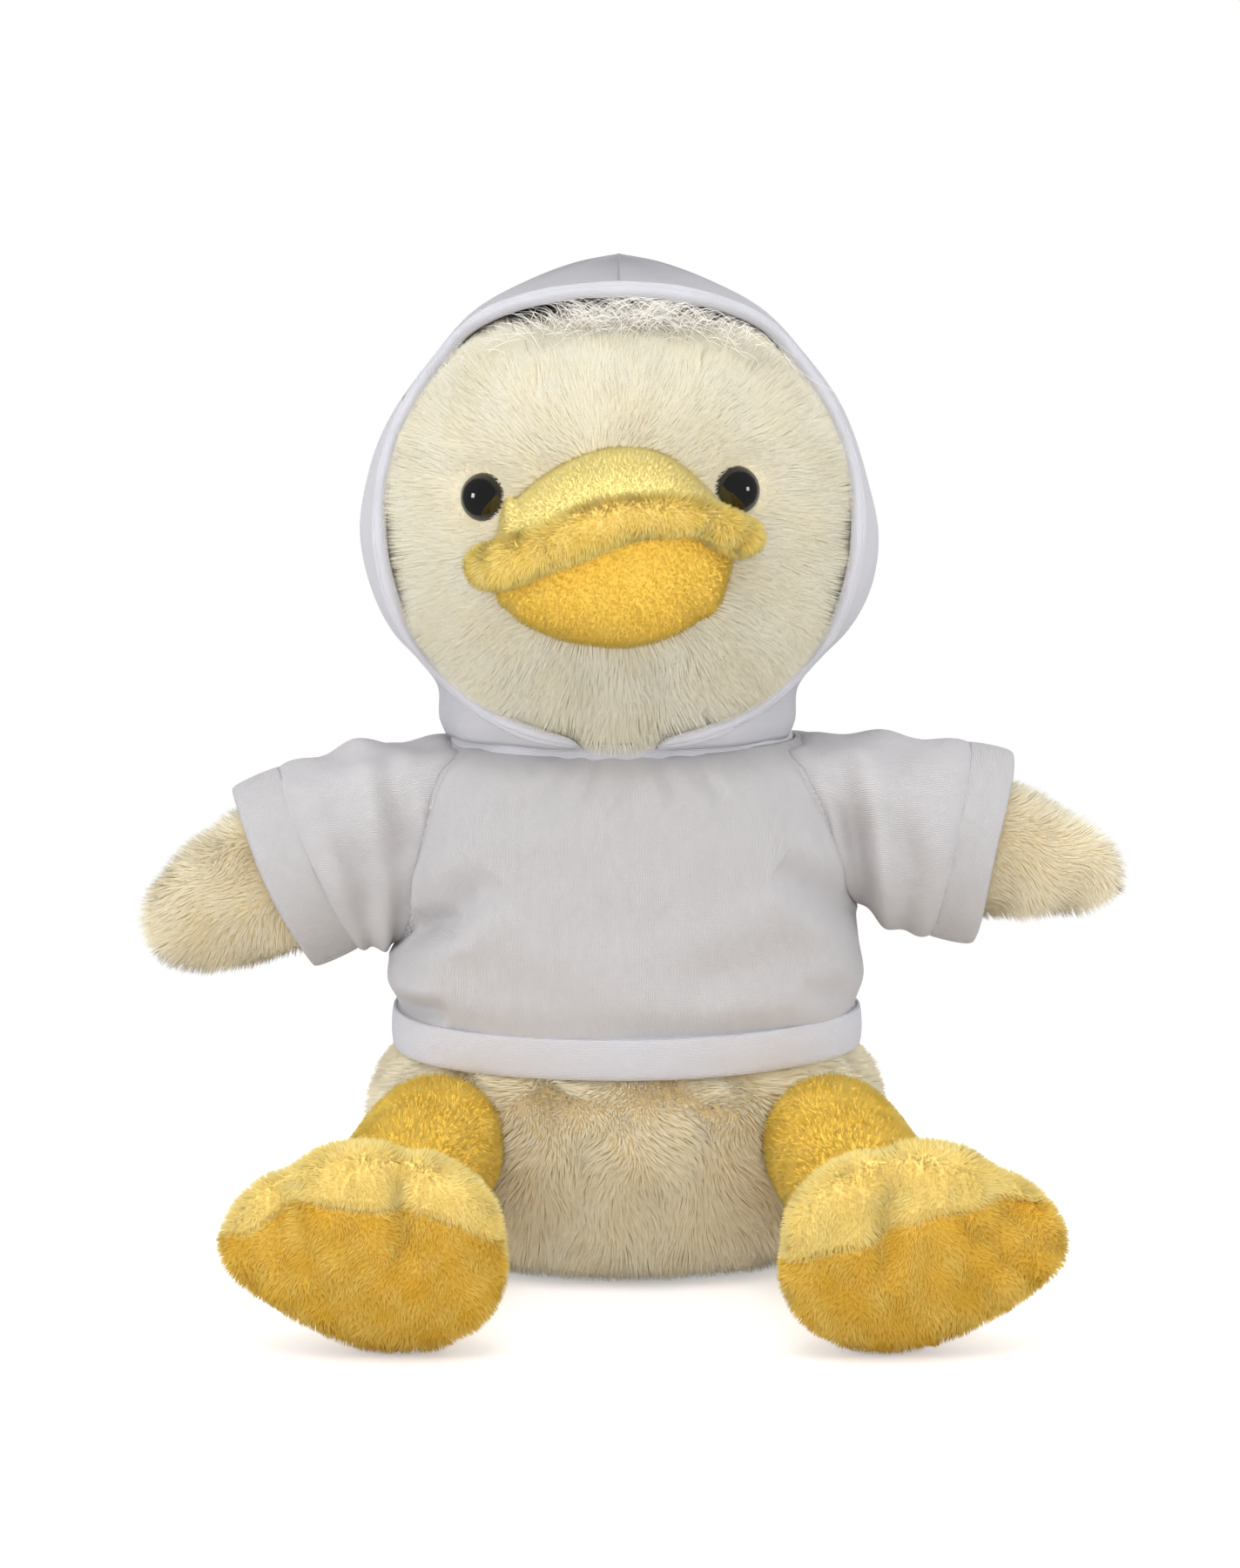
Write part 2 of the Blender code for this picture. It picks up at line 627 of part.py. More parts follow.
legs = {}
for side in SIDES:
    place = leg_place(side)
    skin = loft(
        f"{side}_leg_skin", rings_along(leg_stations(), place), LEG_SEGMENTS, None, 0.0, YELLOW_PILE)
    give_wall(skin, PLUSH_WALL)
    filling = loft(
        f"{side}_leg_filling", rings_along(leg_stations(), place, PLUSH_WALL + FILL_GAP),
        LEG_SEGMENTS, 0.0, 0.0, FIBRE)
    legs[side] = (skin, filling)
    leg_room = hollow(f"{side}_leg_room", hip(side), (LEG_RADIUS, LEG_RADIUS, LEG_RADIUS))
    for piece in (body_skin, body_filling):
        boolean(piece, leg_room)

# Feet: webbed pads of an upper and a sole, seamed round the edge, toes up and heels on the floor
FOOT_SEGMENTS = 18


def foot_place(side):
    """The middle of the foot's seam plane: z out of the sole, y towards the toes, x outwards."""
    sign = SIDES[side]
    lean = Matrix.Rotation(math.pi / 2 + FOOT_LEAN, 4, "X")
    yaw = Matrix.Rotation(sign * FOOT_TURN, 4, "Z")
    mirror = Matrix.Diagonal((-sign, 1.0, 1.0, 1.0))
    level = max(
        FOOT_HEIGHT / 2 * share * math.cos(FOOT_LEAN) + FOOT_SOLE_BULGE * rise * math.sin(FOOT_LEAN)
        for share, rise in FOOT_RING_SHARES) - SEAT_CUT
    middle = (sign * FEET_OUT[side], -FOOT_FORWARD, level)
    return Matrix.Translation(middle) @ yaw @ lean @ mirror


def foot_edge(angle):
    """The foot's outline at an angle, as shares of its half sizes."""
    turns = len(FOOT_OUTLINE_SHARES)
    at = angle / (2 * math.pi) * turns
    i = int(at) % turns
    t = at - int(at)
    points = [Vector(FOOT_OUTLINE_SHARES[(i + k) % turns]) for k in (-1, 0, 1, 2)]
    return (
        points[1] * (2 * t ** 3 - 3 * t ** 2 + 1) + (points[2] - points[0]) / 2 * (t ** 3 - 2 * t ** 2 + t)
        + points[2] * (3 * t ** 2 - 2 * t ** 3) + (points[3] - points[1]) / 2 * (t ** 3 - t ** 2))


def foot_form(name, place, inset, halves, finish=None):
    """A foot's pad, or one half of it: halves says which sides of the seam it has."""
    bm = bmesh.new()
    steps = []
    if "upper" in halves:
        bulge = FOOT_UPPER_BULGE - inset
        steps += [(share, -bulge * rise) for share, rise in reversed(FOOT_RING_SHARES)]
        steps += [(1.0, -FOOT_SEAM_WALL)]
    if len(halves) == 1:
        steps += [(1.0, FIT_GAP / 2 * (1 if "sole" in halves else -1))]
    if "sole" in halves:
        bulge = FOOT_SOLE_BULGE - inset
        steps += [(1.0, FOOT_SEAM_WALL)]
        steps += [(share, bulge * rise) for share, rise in FOOT_RING_SHARES]
    loops = []
    for share, height in steps:
        ring = bmesh.ops.create_circle(bm, segments=FOOT_SEGMENTS, radius=1.0)["verts"]
        for k, vertex in enumerate(ring):
            edge = foot_edge(2 * math.pi * k / FOOT_SEGMENTS)
            across, along = FOOT_WIDTH / 2 - inset, FOOT_HEIGHT / 2 - inset
            vertex.co = (edge.x * across * share, edge.y * along * share, height)
        loops.append(list({edge for vertex in ring for edge in vertex.link_edges}))
    for low, high in zip(loops, loops[1:]):
        bmesh.ops.bridge_loops(bm, edges=low + high)
    caps = [bmesh.ops.contextual_create(bm, geom=loop)["faces"][0] for loop in (loops[0], loops[-1])]
    bmesh.ops.recalc_face_normals(bm, faces=bm.faces)
    open_end = {("upper",): 1, ("sole",): 0}.get(halves)
    for i, cap in enumerate(caps):
        if i == open_end:
            bmesh.ops.delete(bm, geom=[cap], context="FACES_ONLY")
        else:
            bmesh.ops.poke(bm, faces=[cap], offset=FOOT_TIP)
    bmesh.ops.transform(bm, matrix=place, verts=bm.verts)
    if place.determinant() < 0:
        bmesh.ops.reverse_faces(bm, faces=bm.faces)
    return add_object(name, bm, finish)


for side in SIDES:
    place = foot_place(side)
    upper = foot_form(f"{side}_foot_upper", place, 0.0, ("upper",), YELLOW_PILE)
    sole = foot_form(f"{side}_foot_sole", place, 0.0, ("sole",), SOLE_PILE)
    filling = foot_form(
        f"{side}_foot_filling", place, PLUSH_WALL + FOOT_FILL_GAP, ("upper", "sole"), FIBRE)
    for piece in (upper, sole):
        give_wall(piece, PLUSH_WALL)
        boolean(piece, under_seat)
    foot_room = as_cutter(foot_form(f"{side}_foot_room", place, -FIT_GAP, ("upper", "sole")))
    for piece in legs[side]:
        boolean(piece, foot_room)

# Tail: a small flat cone sewn low on the back
TAIL_SEGMENTS = 12
tail_place = frame_along(
    (0, TAIL_BACK, TAIL_LEVEL), (0, math.cos(TAIL_RISE), math.sin(TAIL_RISE)), (1, 0, 0))
tail_stations = [
    (TAIL_LENGTH * share, TAIL_WIDTH / 2 * fullness, TAIL_THICKNESS / 2 * fullness)
    for share, fullness in TAIL_SHARES]
tail = loft(
    "tail", rings_along(tail_stations, tail_place), TAIL_SEGMENTS, 0.0, TAIL_TIP, CREAM_PILE)
boolean(tail, body_room)

# Jersey body: one draped tube, cut at the side seams, armholes and hem into its panels
JERSEY_SEGMENTS = 36
JERSEY_RINGS = 9


def jersey_stations(low, high, rings):
    stations = []
    for i in range(rings):
        level = low + (high - low) * i / (rings - 1)
        share = (level - JERSEY_BOTTOM) / (JERSEY_NECKLINE - JERSEY_BOTTOM)
        half = JERSEY_WIDTH / 2 * smooth_between(JERSEY_OUTLINE_SHARES, share)[0]
        stations.append((level, half, half * JERSEY_DEPTH_SHARE))
    return stations


def jersey_tube(name, grow, low, high, rings, ends, finish=None):
    return loft(
        name, rings_along(jersey_stations(low, high, rings), Matrix(), -grow), JERSEY_SEGMENTS, ends,
        ends, finish)


def drape(made):
    """Folds that run from each armpit down across the chest and the back."""
    for vertex in made.data.vertices:
        sign = 1 if vertex.co.x > 0 else -1
        pit = Vector((sign * SHOULDER_OUT, SHOULDER_LEVEL - SLEEVE_HEIGHT / 2))
        away = Vector((vertex.co.x, vertex.co.z)) - pit
        bearing = math.atan2(-away.y, -sign * away.x)
        fade = math.exp(-(away.length / FOLD_REACH) ** 2) * min(away.length / (FOLD_REACH / 4), 1)
        depth = FOLD_DEPTH * fade * (1 + math.cos(2 * FOLD_COUNT * bearing)) / 2
        outward = Vector((vertex.co.x, vertex.co.y, 0)).normalized()
        vertex.co += outward * depth


hem_top = JERSEY_BOTTOM + HEM_HEIGHT
panels = {}
for name, sign in (("shirt_front", -1), ("shirt_back", 1)):
    panel = jersey_tube(
        name, 0.0, hem_top + FIT_GAP, JERSEY_NECKLINE - FIT_GAP, JERSEY_RINGS, None, WHITE_KNIT)
    drape(panel)
    give_wall(panel, JERSEY_WALL)
    panels[name] = (panel, sign)
jersey_room = as_cutter(jersey_tube(
    "jersey_room", FOLD_DEPTH + FIT_GAP, JERSEY_BOTTOM, JERSEY_NECKLINE, JERSEY_RINGS, 0.0))

HEM_RINGS = 3
hem_band = jersey_tube(
    "hem_band", HEM_PROUD, JERSEY_BOTTOM, hem_top, HEM_RINGS, None, WHITE_KNIT)
give_wall(hem_band, BAND_WALL)

# Sleeves and cuffs: short tubes round the wings
SLEEVE_SEGMENTS = 20
SLEEVE_RINGS = 4
CUFF_RINGS = 3


def tube_rings(place, droop, start, end, heights, depth, grow, count):
    """A tube's rings from its first height to its last, the first turned upright by the droop."""
    rings = []
    for i in range(count):
        share = i / (count - 1)
        height = heights[0] + (heights[1] - heights[0]) * share
        along = place @ Matrix.Translation((0, 0, start + (end - start) * share))
        upright = Matrix.Rotation(droop * (1 - share), 4, "Y")
        size = Matrix.Diagonal((height / 2 + grow, depth / 2 + grow, 1.0, 1.0))
        rings.append(along @ upright @ size)
    return rings


for side in SIDES:
    place, droop = wing_place(side), WING_DROOPS[side]
    sleeve = loft(
        f"{side}_sleeve",
        tube_rings(place, droop, -SLEEVE_START, SLEEVE_END - FIT_GAP, (SLEEVE_ROOT_HEIGHT, SLEEVE_HEIGHT),
                   SLEEVE_DEPTH, 0.0, SLEEVE_RINGS),
        SLEEVE_SEGMENTS, None, None, WHITE_KNIT)
    give_wall(sleeve, JERSEY_WALL)
    boolean(sleeve, jersey_room)
    cuff = loft(
        f"{side}_cuff",
        tube_rings(place, 0.0, SLEEVE_END, SLEEVE_END + CUFF_WIDTH, (CUFF_HEIGHT, CUFF_HEIGHT), CUFF_DEPTH,
                   CUFF_PROUD, CUFF_RINGS),
        SLEEVE_SEGMENTS, None, None, WHITE_KNIT)
    give_wall(cuff, BAND_WALL)
    armhole = as_cutter(loft(
        f"{side}_armhole",
        tube_rings(place, droop, -ARMHOLE_START, SLEEVE_END, (SLEEVE_ROOT_HEIGHT, SLEEVE_HEIGHT),
                   SLEEVE_DEPTH, -JERSEY_WALL, SLEEVE_RINGS),
        SLEEVE_SEGMENTS, 0.0, 0.0))
    for panel, _ in panels.values():
        boolean(panel, armhole)

for panel, sign in panels.values():
    edge = FIT_GAP / 2 * sign
    away = -CUTTER_REACH * sign
    other_half = block(
        f"{panel.name}_trim", (-CUTTER_REACH, min(edge, away), -CUTTER_REACH),
        (CUTTER_REACH, max(edge, away), CUTTER_REACH))
    boolean(panel, other_half)

# Hood: two halves sewn along the crown, the neck band below them and a band round the face
HOOD_SEGMENTS = 32
HOOD_RINGS = 11
OPENING_POINTS = 32
BAND_SEGMENTS = 8
HOOD_RING_CROWDING = 1.15
HOOD_PLACE = Matrix.Translation((HEAD_ASIDE, HOOD_BACK - HEAD_FORWARD, 0))
hood_bottom = NECK_BAND_TOP + FIT_GAP


def hood_half(level):
    """Half the hood's width at a level."""
    share = (level - hood_bottom) / (HOOD_TOP - hood_bottom)
    return HOOD_WIDTH / 2 * smooth_between(HOOD_OUTLINE_SHARES, share)[0]


def hood_form(name, finish=None):
    stations = []
    last = HOOD_OUTLINE_SHARES[-1][0]
    for i in range(HOOD_RINGS):
        share = last * math.sin(math.pi / 2 * i / (HOOD_RINGS - 1)) ** HOOD_RING_CROWDING
        level = hood_bottom + (HOOD_TOP - hood_bottom) * share
        stations.append((level, hood_half(level), hood_half(level) * HOOD_DEPTH_SHARE))
    return loft(name, rings_along(stations, HOOD_PLACE), HOOD_SEGMENTS, None, HOOD_TIP, finish)


def opening_edge():
    """Points of the face opening's edge on the hood, upwards along the left and down the right."""
    middle = (OPENING_TOP + OPENING_BOTTOM) / 2
    half_height = (OPENING_TOP - OPENING_BOTTOM) / 2
    points = []
    for i in range(OPENING_POINTS):
        angle = 2 * math.pi * i / OPENING_POINTS
        swell = 1 + OPENING_SWELL_SHARE * math.sin(2 * angle) ** 2
        x = OPENING_WIDTH / 2 * math.sin(angle) * swell
        level = middle + half_height * math.cos(angle) * swell
        reach = 1 - min((x / hood_half(level)) ** 2, 1)
        depth = max(hood_half(level) * HOOD_DEPTH_SHARE * math.sqrt(reach), OPENING_BACK)
        points.append(HOOD_PLACE @ Vector((x, -depth, level)))
    return points


def band_ring(points, i, half_width, half_wall):
    """The place of the face band's section at one point, its width lying along the hood."""
    along = points[(i + 1) % len(points)] - points[i - 1]
    centre = HOOD_PLACE @ Vector((0, 0, HEAD_MIDDLE))
    out = (points[i] - centre).normalized()
    place = frame_along(points[i], along, out)
    return place @ Matrix.Diagonal((half_wall, half_width, 1.0, 1.0))


def closed_loft(name, rings, segments, finish=None):
    """A band bridged over rings that run round in a loop."""
    bm = bmesh.new()
    loops = []
    for ring in rings:
        made = bmesh.ops.create_circle(bm, segments=segments, radius=1.0, matrix=ring)["verts"]
        loops.append(list({edge for vertex in made for edge in vertex.link_edges}))
    for low, high in zip(loops, loops[1:] + loops[:1]):
        bmesh.ops.bridge_loops(bm, edges=low + high)
    bmesh.ops.recalc_face_normals(bm, faces=bm.faces)
    return add_object(name, bm, finish)


edge = opening_edge()
band_size = (FACE_BAND_WIDTH / 2, FACE_BAND_WALL / 2)
hood_band = closed_loft(
    "hood_band", [band_ring(edge, i, *band_size) for i in range(OPENING_POINTS)], BAND_SEGMENTS,
    WHITE_KNIT)
band_room = as_cutter(closed_loft(
    "band_room",
    [band_ring(edge, i, *(half + FIT_GAP for half in band_size)) for i in range(OPENING_POINTS)],
    BAND_SEGMENTS))


def opening_cut():
    """The face opening, pushed through the hood's front from inside its edge."""
    bm = bmesh.new()
    behind = -OPENING_BACK / 2
    face = bm.faces.new([bm.verts.new((point.x, behind, point.z)) for point in edge])
    front = bmesh.ops.extrude_face_region(bm, geom=[face])["geom"]
    moved = [item for item in front if isinstance(item, bmesh.types.BMVert)]
    bmesh.ops.translate(bm, vec=(0, -CUTTER_REACH, 0), verts=moved)
    bmesh.ops.recalc_face_normals(bm, faces=bm.faces)
    return as_cutter(add_object("face_opening", bm))


face_opening = opening_cut()
for side, sign in SIDES.items():
    half = hood_form(f"hood_{side}", WHITE_KNIT)
    give_wall(half, JERSEY_WALL)
    seam = HEAD_ASIDE + FIT_GAP / 2 * sign
    away = -CUTTER_REACH * sign
    other = block(
        f"hood_{side}_trim", (min(seam, away), -CUTTER_REACH, -CUTTER_REACH),
        (max(seam, away), CUTTER_REACH, 2 * CUTTER_REACH))
    boolean(half, other)
    boolean(half, face_opening)
    boolean(half, band_room)

NECK_SEGMENTS = 28
neck_stations = [
    (level, NECK_BAND_WIDTH / 2, NECK_BAND_DEPTH / 2) for level in (JERSEY_NECKLINE, NECK_BAND_TOP)]
neck_band = loft(
    "neck_band", rings_along(neck_stations, HOOD_PLACE), NECK_SEGMENTS, None, None, WHITE_KNIT)
give_wall(neck_band, BAND_WALL)


def pivot(name, place, pieces):
    """An empty on a seam's axis that carries the pieces turning there."""
    made = bpy.data.objects.new(name, None)
    made.location = place
    bpy.context.scene.collection.objects.link(made)
    for piece in pieces:
        carried = bpy.data.objects[piece]
        carried.parent = made
        carried.matrix_parent_inverse = Matrix.Translation(place).inverted()


# Pivots: the neck seam, both shoulders and both hips
pivot("neck_pivot", HEAD_PLACE @ Vector((0, 0, NECK_LEVEL)), (
    "head_skin", "head_filling", "left_eye", "right_eye", "left_eye_washer", "right_eye_washer",
    "upper_beak", "lower_beak", "beak_lip", "hair_tuft", "hood_left", "hood_right", "hood_band"))
for side in SIDES:
    pivot(f"{side}_shoulder_pivot", wing_place(side).translation, (
        f"{side}_wing_skin", f"{side}_wing_filling", f"{side}_sleeve", f"{side}_cuff"))
    pivot(f"{side}_hip_pivot", hip(side), (
        f"{side}_leg_skin", f"{side}_leg_filling", f"{side}_foot_upper", f"{side}_foot_sole",
        f"{side}_foot_filling"))
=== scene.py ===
"""A seated plush duck in a short-sleeved hooded jersey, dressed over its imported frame."""
import math

import bmesh
import bpy
import numpy as np
from mathutils import Matrix, Vector
from mathutils.kdtree import KDTree


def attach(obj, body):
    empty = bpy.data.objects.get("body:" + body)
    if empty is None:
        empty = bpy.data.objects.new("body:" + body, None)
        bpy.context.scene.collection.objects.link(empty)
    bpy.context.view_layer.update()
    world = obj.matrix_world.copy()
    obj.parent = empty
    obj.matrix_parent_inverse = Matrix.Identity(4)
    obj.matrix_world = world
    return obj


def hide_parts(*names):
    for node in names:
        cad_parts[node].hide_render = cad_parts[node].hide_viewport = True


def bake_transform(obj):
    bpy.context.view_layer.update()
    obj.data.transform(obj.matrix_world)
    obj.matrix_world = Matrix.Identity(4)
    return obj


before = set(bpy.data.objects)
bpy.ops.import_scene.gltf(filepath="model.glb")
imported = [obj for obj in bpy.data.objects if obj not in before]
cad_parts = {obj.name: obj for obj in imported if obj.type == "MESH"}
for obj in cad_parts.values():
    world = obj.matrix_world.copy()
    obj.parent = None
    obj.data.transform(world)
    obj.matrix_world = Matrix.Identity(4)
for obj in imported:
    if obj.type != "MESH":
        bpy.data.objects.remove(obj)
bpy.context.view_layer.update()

# Camera, lamps and floor.
# The duck sits on a plain white table in a light tent, seen from a little above its lap.
VIEW_DISTANCE = 1.100
VIEW_RISE = math.radians(8)
VIEW_CENTRE = Vector((-0.00136, 0, 0.092))
VIEW_WIDTH = 0.2421
LAMPS = (
    ("left_softbox", (-1.30, -0.60, 0.38), 0.32, 3.4),
    ("right_softbox", (1.30, -0.60, 0.38), 0.28, 2.1),
    ("top_softbox", (-0.05, -0.65, 1.20), 0.70, 5.0),
    ("front_softbox", (0.00, -1.35, 0.22), 0.60, 3.4))
TENT_LIGHT = 1.08
TENT_MIRRORED = 0.25
FLOOR_COLOUR = (0.86, 0.86, 0.87)
FLOOR_GLOW = 0.35
FLOOR_FADE = (0.10, 0.36)
FLOOR_SPAN = 6.0
FLOOR_DROP = 0.0002
stage = bpy.context.scene
stage.view_settings.view_transform = "Standard"
stage.cycles.max_bounces = 14
stage.cycles.diffuse_bounces = 12
lens = bpy.data.cameras.new("camera")
lens.sensor_fit = "HORIZONTAL"
lens.sensor_width = 36
lens.lens = lens.sensor_width * VIEW_DISTANCE / VIEW_WIDTH


def placed(name, data):
    """A new object in the scene."""
    made = bpy.data.objects.new(name, data)
    stage.collection.objects.link(made)
    return made


camera = placed("camera", lens)
camera.location = VIEW_CENTRE + VIEW_DISTANCE * Vector((0, -math.cos(VIEW_RISE), math.sin(VIEW_RISE)))
camera.rotation_euler = (math.pi / 2 - VIEW_RISE, 0, 0)
stage.camera = camera
for name, place, width, power in LAMPS:
    lamp = bpy.data.lights.new(name, "AREA")
    lamp.size, lamp.energy = width, power
    holder = placed(name, lamp)
    holder.location = place
    holder.rotation_euler = (VIEW_CENTRE - Vector(place)).to_track_quat("-Z", "Y").to_euler()
    holder.visible_glossy = width < 0.5


def wire(tree, *links):
    """Joins sockets of a node tree, each link given as a pair of sockets."""
    for start, end in links:
        tree.links.new(start, end)


def with_values(node, **values):
    """Puts plain values on a node's own sockets; an underscore stands for a space in their names."""
    for socket, value in values.items():
        node.inputs[socket.replace("_", " ")].default_value = value
    return node


def new_node(tree, kind, **values):
    """A new shader node in a tree, with plain values on its sockets."""
    return with_values(tree.nodes.new(f"ShaderNode{kind}"), **values)


def new_material(name, roughness, **values):
    """A Principled material, its tree and its shader, with plain values on the shader's sockets."""
    made = bpy.data.materials.new(name)
    made.use_nodes = True
    shader = made.node_tree.nodes["Principled BSDF"]
    return made, made.node_tree, with_values(shader, Roughness=roughness, **values)


tent = bpy.data.worlds.new("light_tent")
stage.world = tent
tent.use_nodes = True
tree = tent.node_tree
seen = new_node(tree, "LightPath")
shown = new_node(tree, "Mix", A=TENT_LIGHT, B=1.0)
mirrored = new_node(tree, "Mix", B=TENT_MIRRORED)
wire(tree, (seen.outputs["Is Camera Ray"], shown.inputs["Factor"]),
     (shown.outputs["Result"], mirrored.inputs["A"]),
     (seen.outputs["Is Glossy Ray"], mirrored.inputs["Factor"]),
     (mirrored.outputs["Result"], tree.nodes["Background"].inputs["Strength"]))
with_values(tree.nodes["Background"], Color=(1, 1, 1, 1))

bm = bmesh.new()
bmesh.ops.create_grid(bm, x_segments=1, y_segments=1, size=FLOOR_SPAN)
floor = placed("table_top", bpy.data.meshes.new("table_top"))
bm.to_mesh(floor.data)
bm.free()
floor.location.z = -FLOOR_DROP
floor.visible_glossy = False
table_paint, tree, paint = new_material(
    "table_paint", 0.9, Base_Color=(*FLOOR_COLOUR, 1), Specular_IOR_Level=0.1, Emission_Color=(1, 1, 1, 1))
seen = new_node(tree, "LightPath")
glow = new_node(tree, "Math")
glow.operation = "MULTIPLY"
glow.inputs[1].default_value = FLOOR_GLOW
place = new_node(tree, "TexCoord")
away = new_node(tree, "VectorMath")
away.operation = "LENGTH"
fade = new_node(tree, "MapRange", From_Min=FLOOR_FADE[0], From_Max=FLOOR_FADE[1])
fade.interpolation_type = "SMOOTHSTEP"
both = new_node(tree, "Math")
both.operation = "MULTIPLY"
bright = new_node(tree, "Emission")
shown = new_node(tree, "MixShader")
wire(tree, (seen.outputs["Is Camera Ray"], glow.inputs[0]),
     (glow.outputs[0], paint.inputs["Emission Strength"]),
     (place.outputs["Object"], away.inputs[0]), (away.outputs["Value"], fade.inputs["Value"]),
     (fade.outputs["Result"], both.inputs[0]), (seen.outputs["Is Camera Ray"], both.inputs[1]),
     (both.outputs[0], shown.inputs["Fac"]), (paint.outputs[0], shown.inputs[1]),
     (bright.outputs[0], shown.inputs[2]),
     (shown.outputs[0], tree.nodes["Material Output"].inputs["Surface"]))
floor.data.materials.append(table_paint)

# Filling: loose polyester fibre inside the head, body, wings, legs and feet, and the two plain
# washers that lock the eyes' shanks behind the skin. All of it is shut in by the skins, whose form
# the fibre takes, so each skin's section lays its own.
FIBRE_COLOUR = (0.82, 0.82, 0.80)
FILLING_GAP = 0.0014
FIBRE_GRAIN = 0.0016
FIBRE_DEPTH = 0.0006
WASHER_COLOUR = (0.62, 0.62, 0.60)
WASHER_GRAIN = 0.0030
WASHER_DEPTH = 0.00004
MOTTLE_SHARE = 0.93


def mottled(name, colour, grain, depth, roughness):
    """A plain finish whose colour varies a little over the surface, with a fine bump."""
    made, tree, shader = new_material(name, roughness)
    place = new_node(tree, "TexCoord")
    noise = new_node(tree, "TexNoise", Scale=1 / grain, Detail=3)
    tint = new_node(tree, "ValToRGB")
    tint.color_ramp.elements[0].color = (*[part * MOTTLE_SHARE for part in colour], 1)
    tint.color_ramp.elements[1].color = (*colour, 1)
    bump = new_node(tree, "Bump", Distance=depth)
    wire(tree, (place.outputs["Object"], noise.inputs["Vector"]),
         (noise.outputs["Fac"], tint.inputs["Fac"]), (tint.outputs["Color"], shader.inputs["Base Color"]),
         (noise.outputs["Fac"], bump.inputs["Height"]), (bump.outputs["Normal"], shader.inputs["Normal"]))
    return made


loose_fibre = mottled("loose_fibre", FIBRE_COLOUR, FIBRE_GRAIN, FIBRE_DEPTH, 1.0)
washer_plastic = mottled("washer_plastic", WASHER_COLOUR, WASHER_GRAIN, WASHER_DEPTH, 0.45)
for name in ("left_eye_washer", "right_eye_washer"):
    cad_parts[name].data.materials.clear()
    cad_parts[name].data.materials.append(washer_plastic)

# Body: a pear-shaped skin of cream long-pile fabric, stuffed, sewn at the neck and flat where it
# sits. Its pile is laid on the backing fabric fibre by fibre, combed down and a little tousled.
BODY_DEPTH_SHARE = 0.88
BODY_PROFILE = (
    (0.0000, 0.0016), (0.0200, 0.0016), (0.0345, 0.0030), (0.0425, 0.0090), (0.0468, 0.0180),
    (0.0480, 0.0275), (0.0462, 0.0345), (0.0420, 0.0405), (0.0396, 0.0515), (0.0378, 0.0700),
    (0.0335, 0.0870), (0.0262, 0.0960), (0.0150, 0.1012), (0.0000, 0.1018))
# The body's cream, also on the wings and tail, is the warmer, more saturated of two copies of the one cream
# plush; its extra warmth is painted shade, matched to the shaded belly.
CREAM_ROOT = (0.96, 0.78, 0.46)
CREAM_TIP = (0.97, 0.865, 0.61)
CREAM_PALE = (0.98, 0.905, 0.70)
BACKING_GRAIN = 0.0008
BACKING_DEPTH = 0.0003
MERGE_GAP = 0.00002


def as_points(*parts):
    """Points, or spots of a map, put together from their separate coordinates."""
    return np.stack(parts, axis=-1)


def through(stops, at):
    """Values at given places on a smooth curve through stops, each a place and a value."""
    places, values = np.array(stops, float).T
    slopes = np.gradient(values, places)
    i = np.clip(np.searchsorted(places, at) - 1, 0, len(places) - 2)
    width = places[i + 1] - places[i]
    t = np.clip((at - places[i]) / width, 0, 1)
    return ((1 + 2 * t) * (1 - t) ** 2 * values[i] + t * (1 - t) ** 2 * width * slopes[i]
            + t * t * (3 - 2 * t) * values[i + 1] - t * t * (1 - t) * width * slopes[i + 1])


def outline(points, at):
    """Places along a smooth line through the given points, for shares from 0 to 1 of its length."""
    line = np.array(points, float)
    lengths = np.concatenate([[0], np.cumsum(np.linalg.norm(np.diff(line, axis=0), axis=1))])
    shares = lengths / lengths[-1]
    return np.stack([through(list(zip(shares, part)), at) for part in line.T], axis=-1)


def finished(name, bm, finish):
    """The object that a worked mesh becomes, shaded smooth, with its finish."""
    made = placed(name, bpy.data.meshes.new(name))
    bm.to_mesh(made.data)
    bm.free()
    made.data.shade_smooth()
    made.data.materials.append(finish)
    return made


def shaped(name, columns, rows, place, finish, weave=None, hole=None, wall=0):
    """A grid whose points go where place(across, up) puts them, closed where its edges meet.

    weave gives a second map in metres, hole(points) says what lies inside an opening, below 1, and
    where its edge is, and wall is the cloth's thickness.
    """
    bm = bmesh.new()
    share = bm.loops.layers.uv.new("OFBake")
    bmesh.ops.create_grid(bm, x_segments=columns, y_segments=rows, size=0.5, calc_uvs=True)
    flat = np.array([vertex.co[:2] for vertex in bm.verts]) + 0.5
    points = place(flat[:, 0], flat[:, 1])
    for vertex, point in zip(bm.verts, points):
        vertex.co = point
    if weave:
        fine = bm.loops.layers.uv.new("weave")
        corners = [corner for face in bm.faces for corner in face.loops]
        spots = np.array([corner[share].uv[:] for corner in corners])
        for corner, spot in zip(corners, np.stack(weave(spots[:, 0], spots[:, 1]), axis=1)):
            corner[fine].uv = spot
    if hole:
        far, edge = hole(points)
        bm.verts.index_update()
        inside = [face for face in bm.faces
                  if sum(far[vertex.index] for vertex in face.verts) < len(face.verts)]
        gone = set(inside)
        rim = {vertex for face in inside for vertex in face.verts if not gone.issuperset(vertex.link_faces)}
        for vertex in rim:
            vertex.co = edge[vertex.index]
        bmesh.ops.delete(bm, geom=inside, context="FACES")
    bmesh.ops.remove_doubles(bm, verts=bm.verts, dist=MERGE_GAP)
    bmesh.ops.recalc_face_normals(bm, faces=bm.faces)
    if wall:
        bmesh.ops.solidify(bm, geom=bm.faces[:], thickness=wall)
    return finished(name, bm, finish)


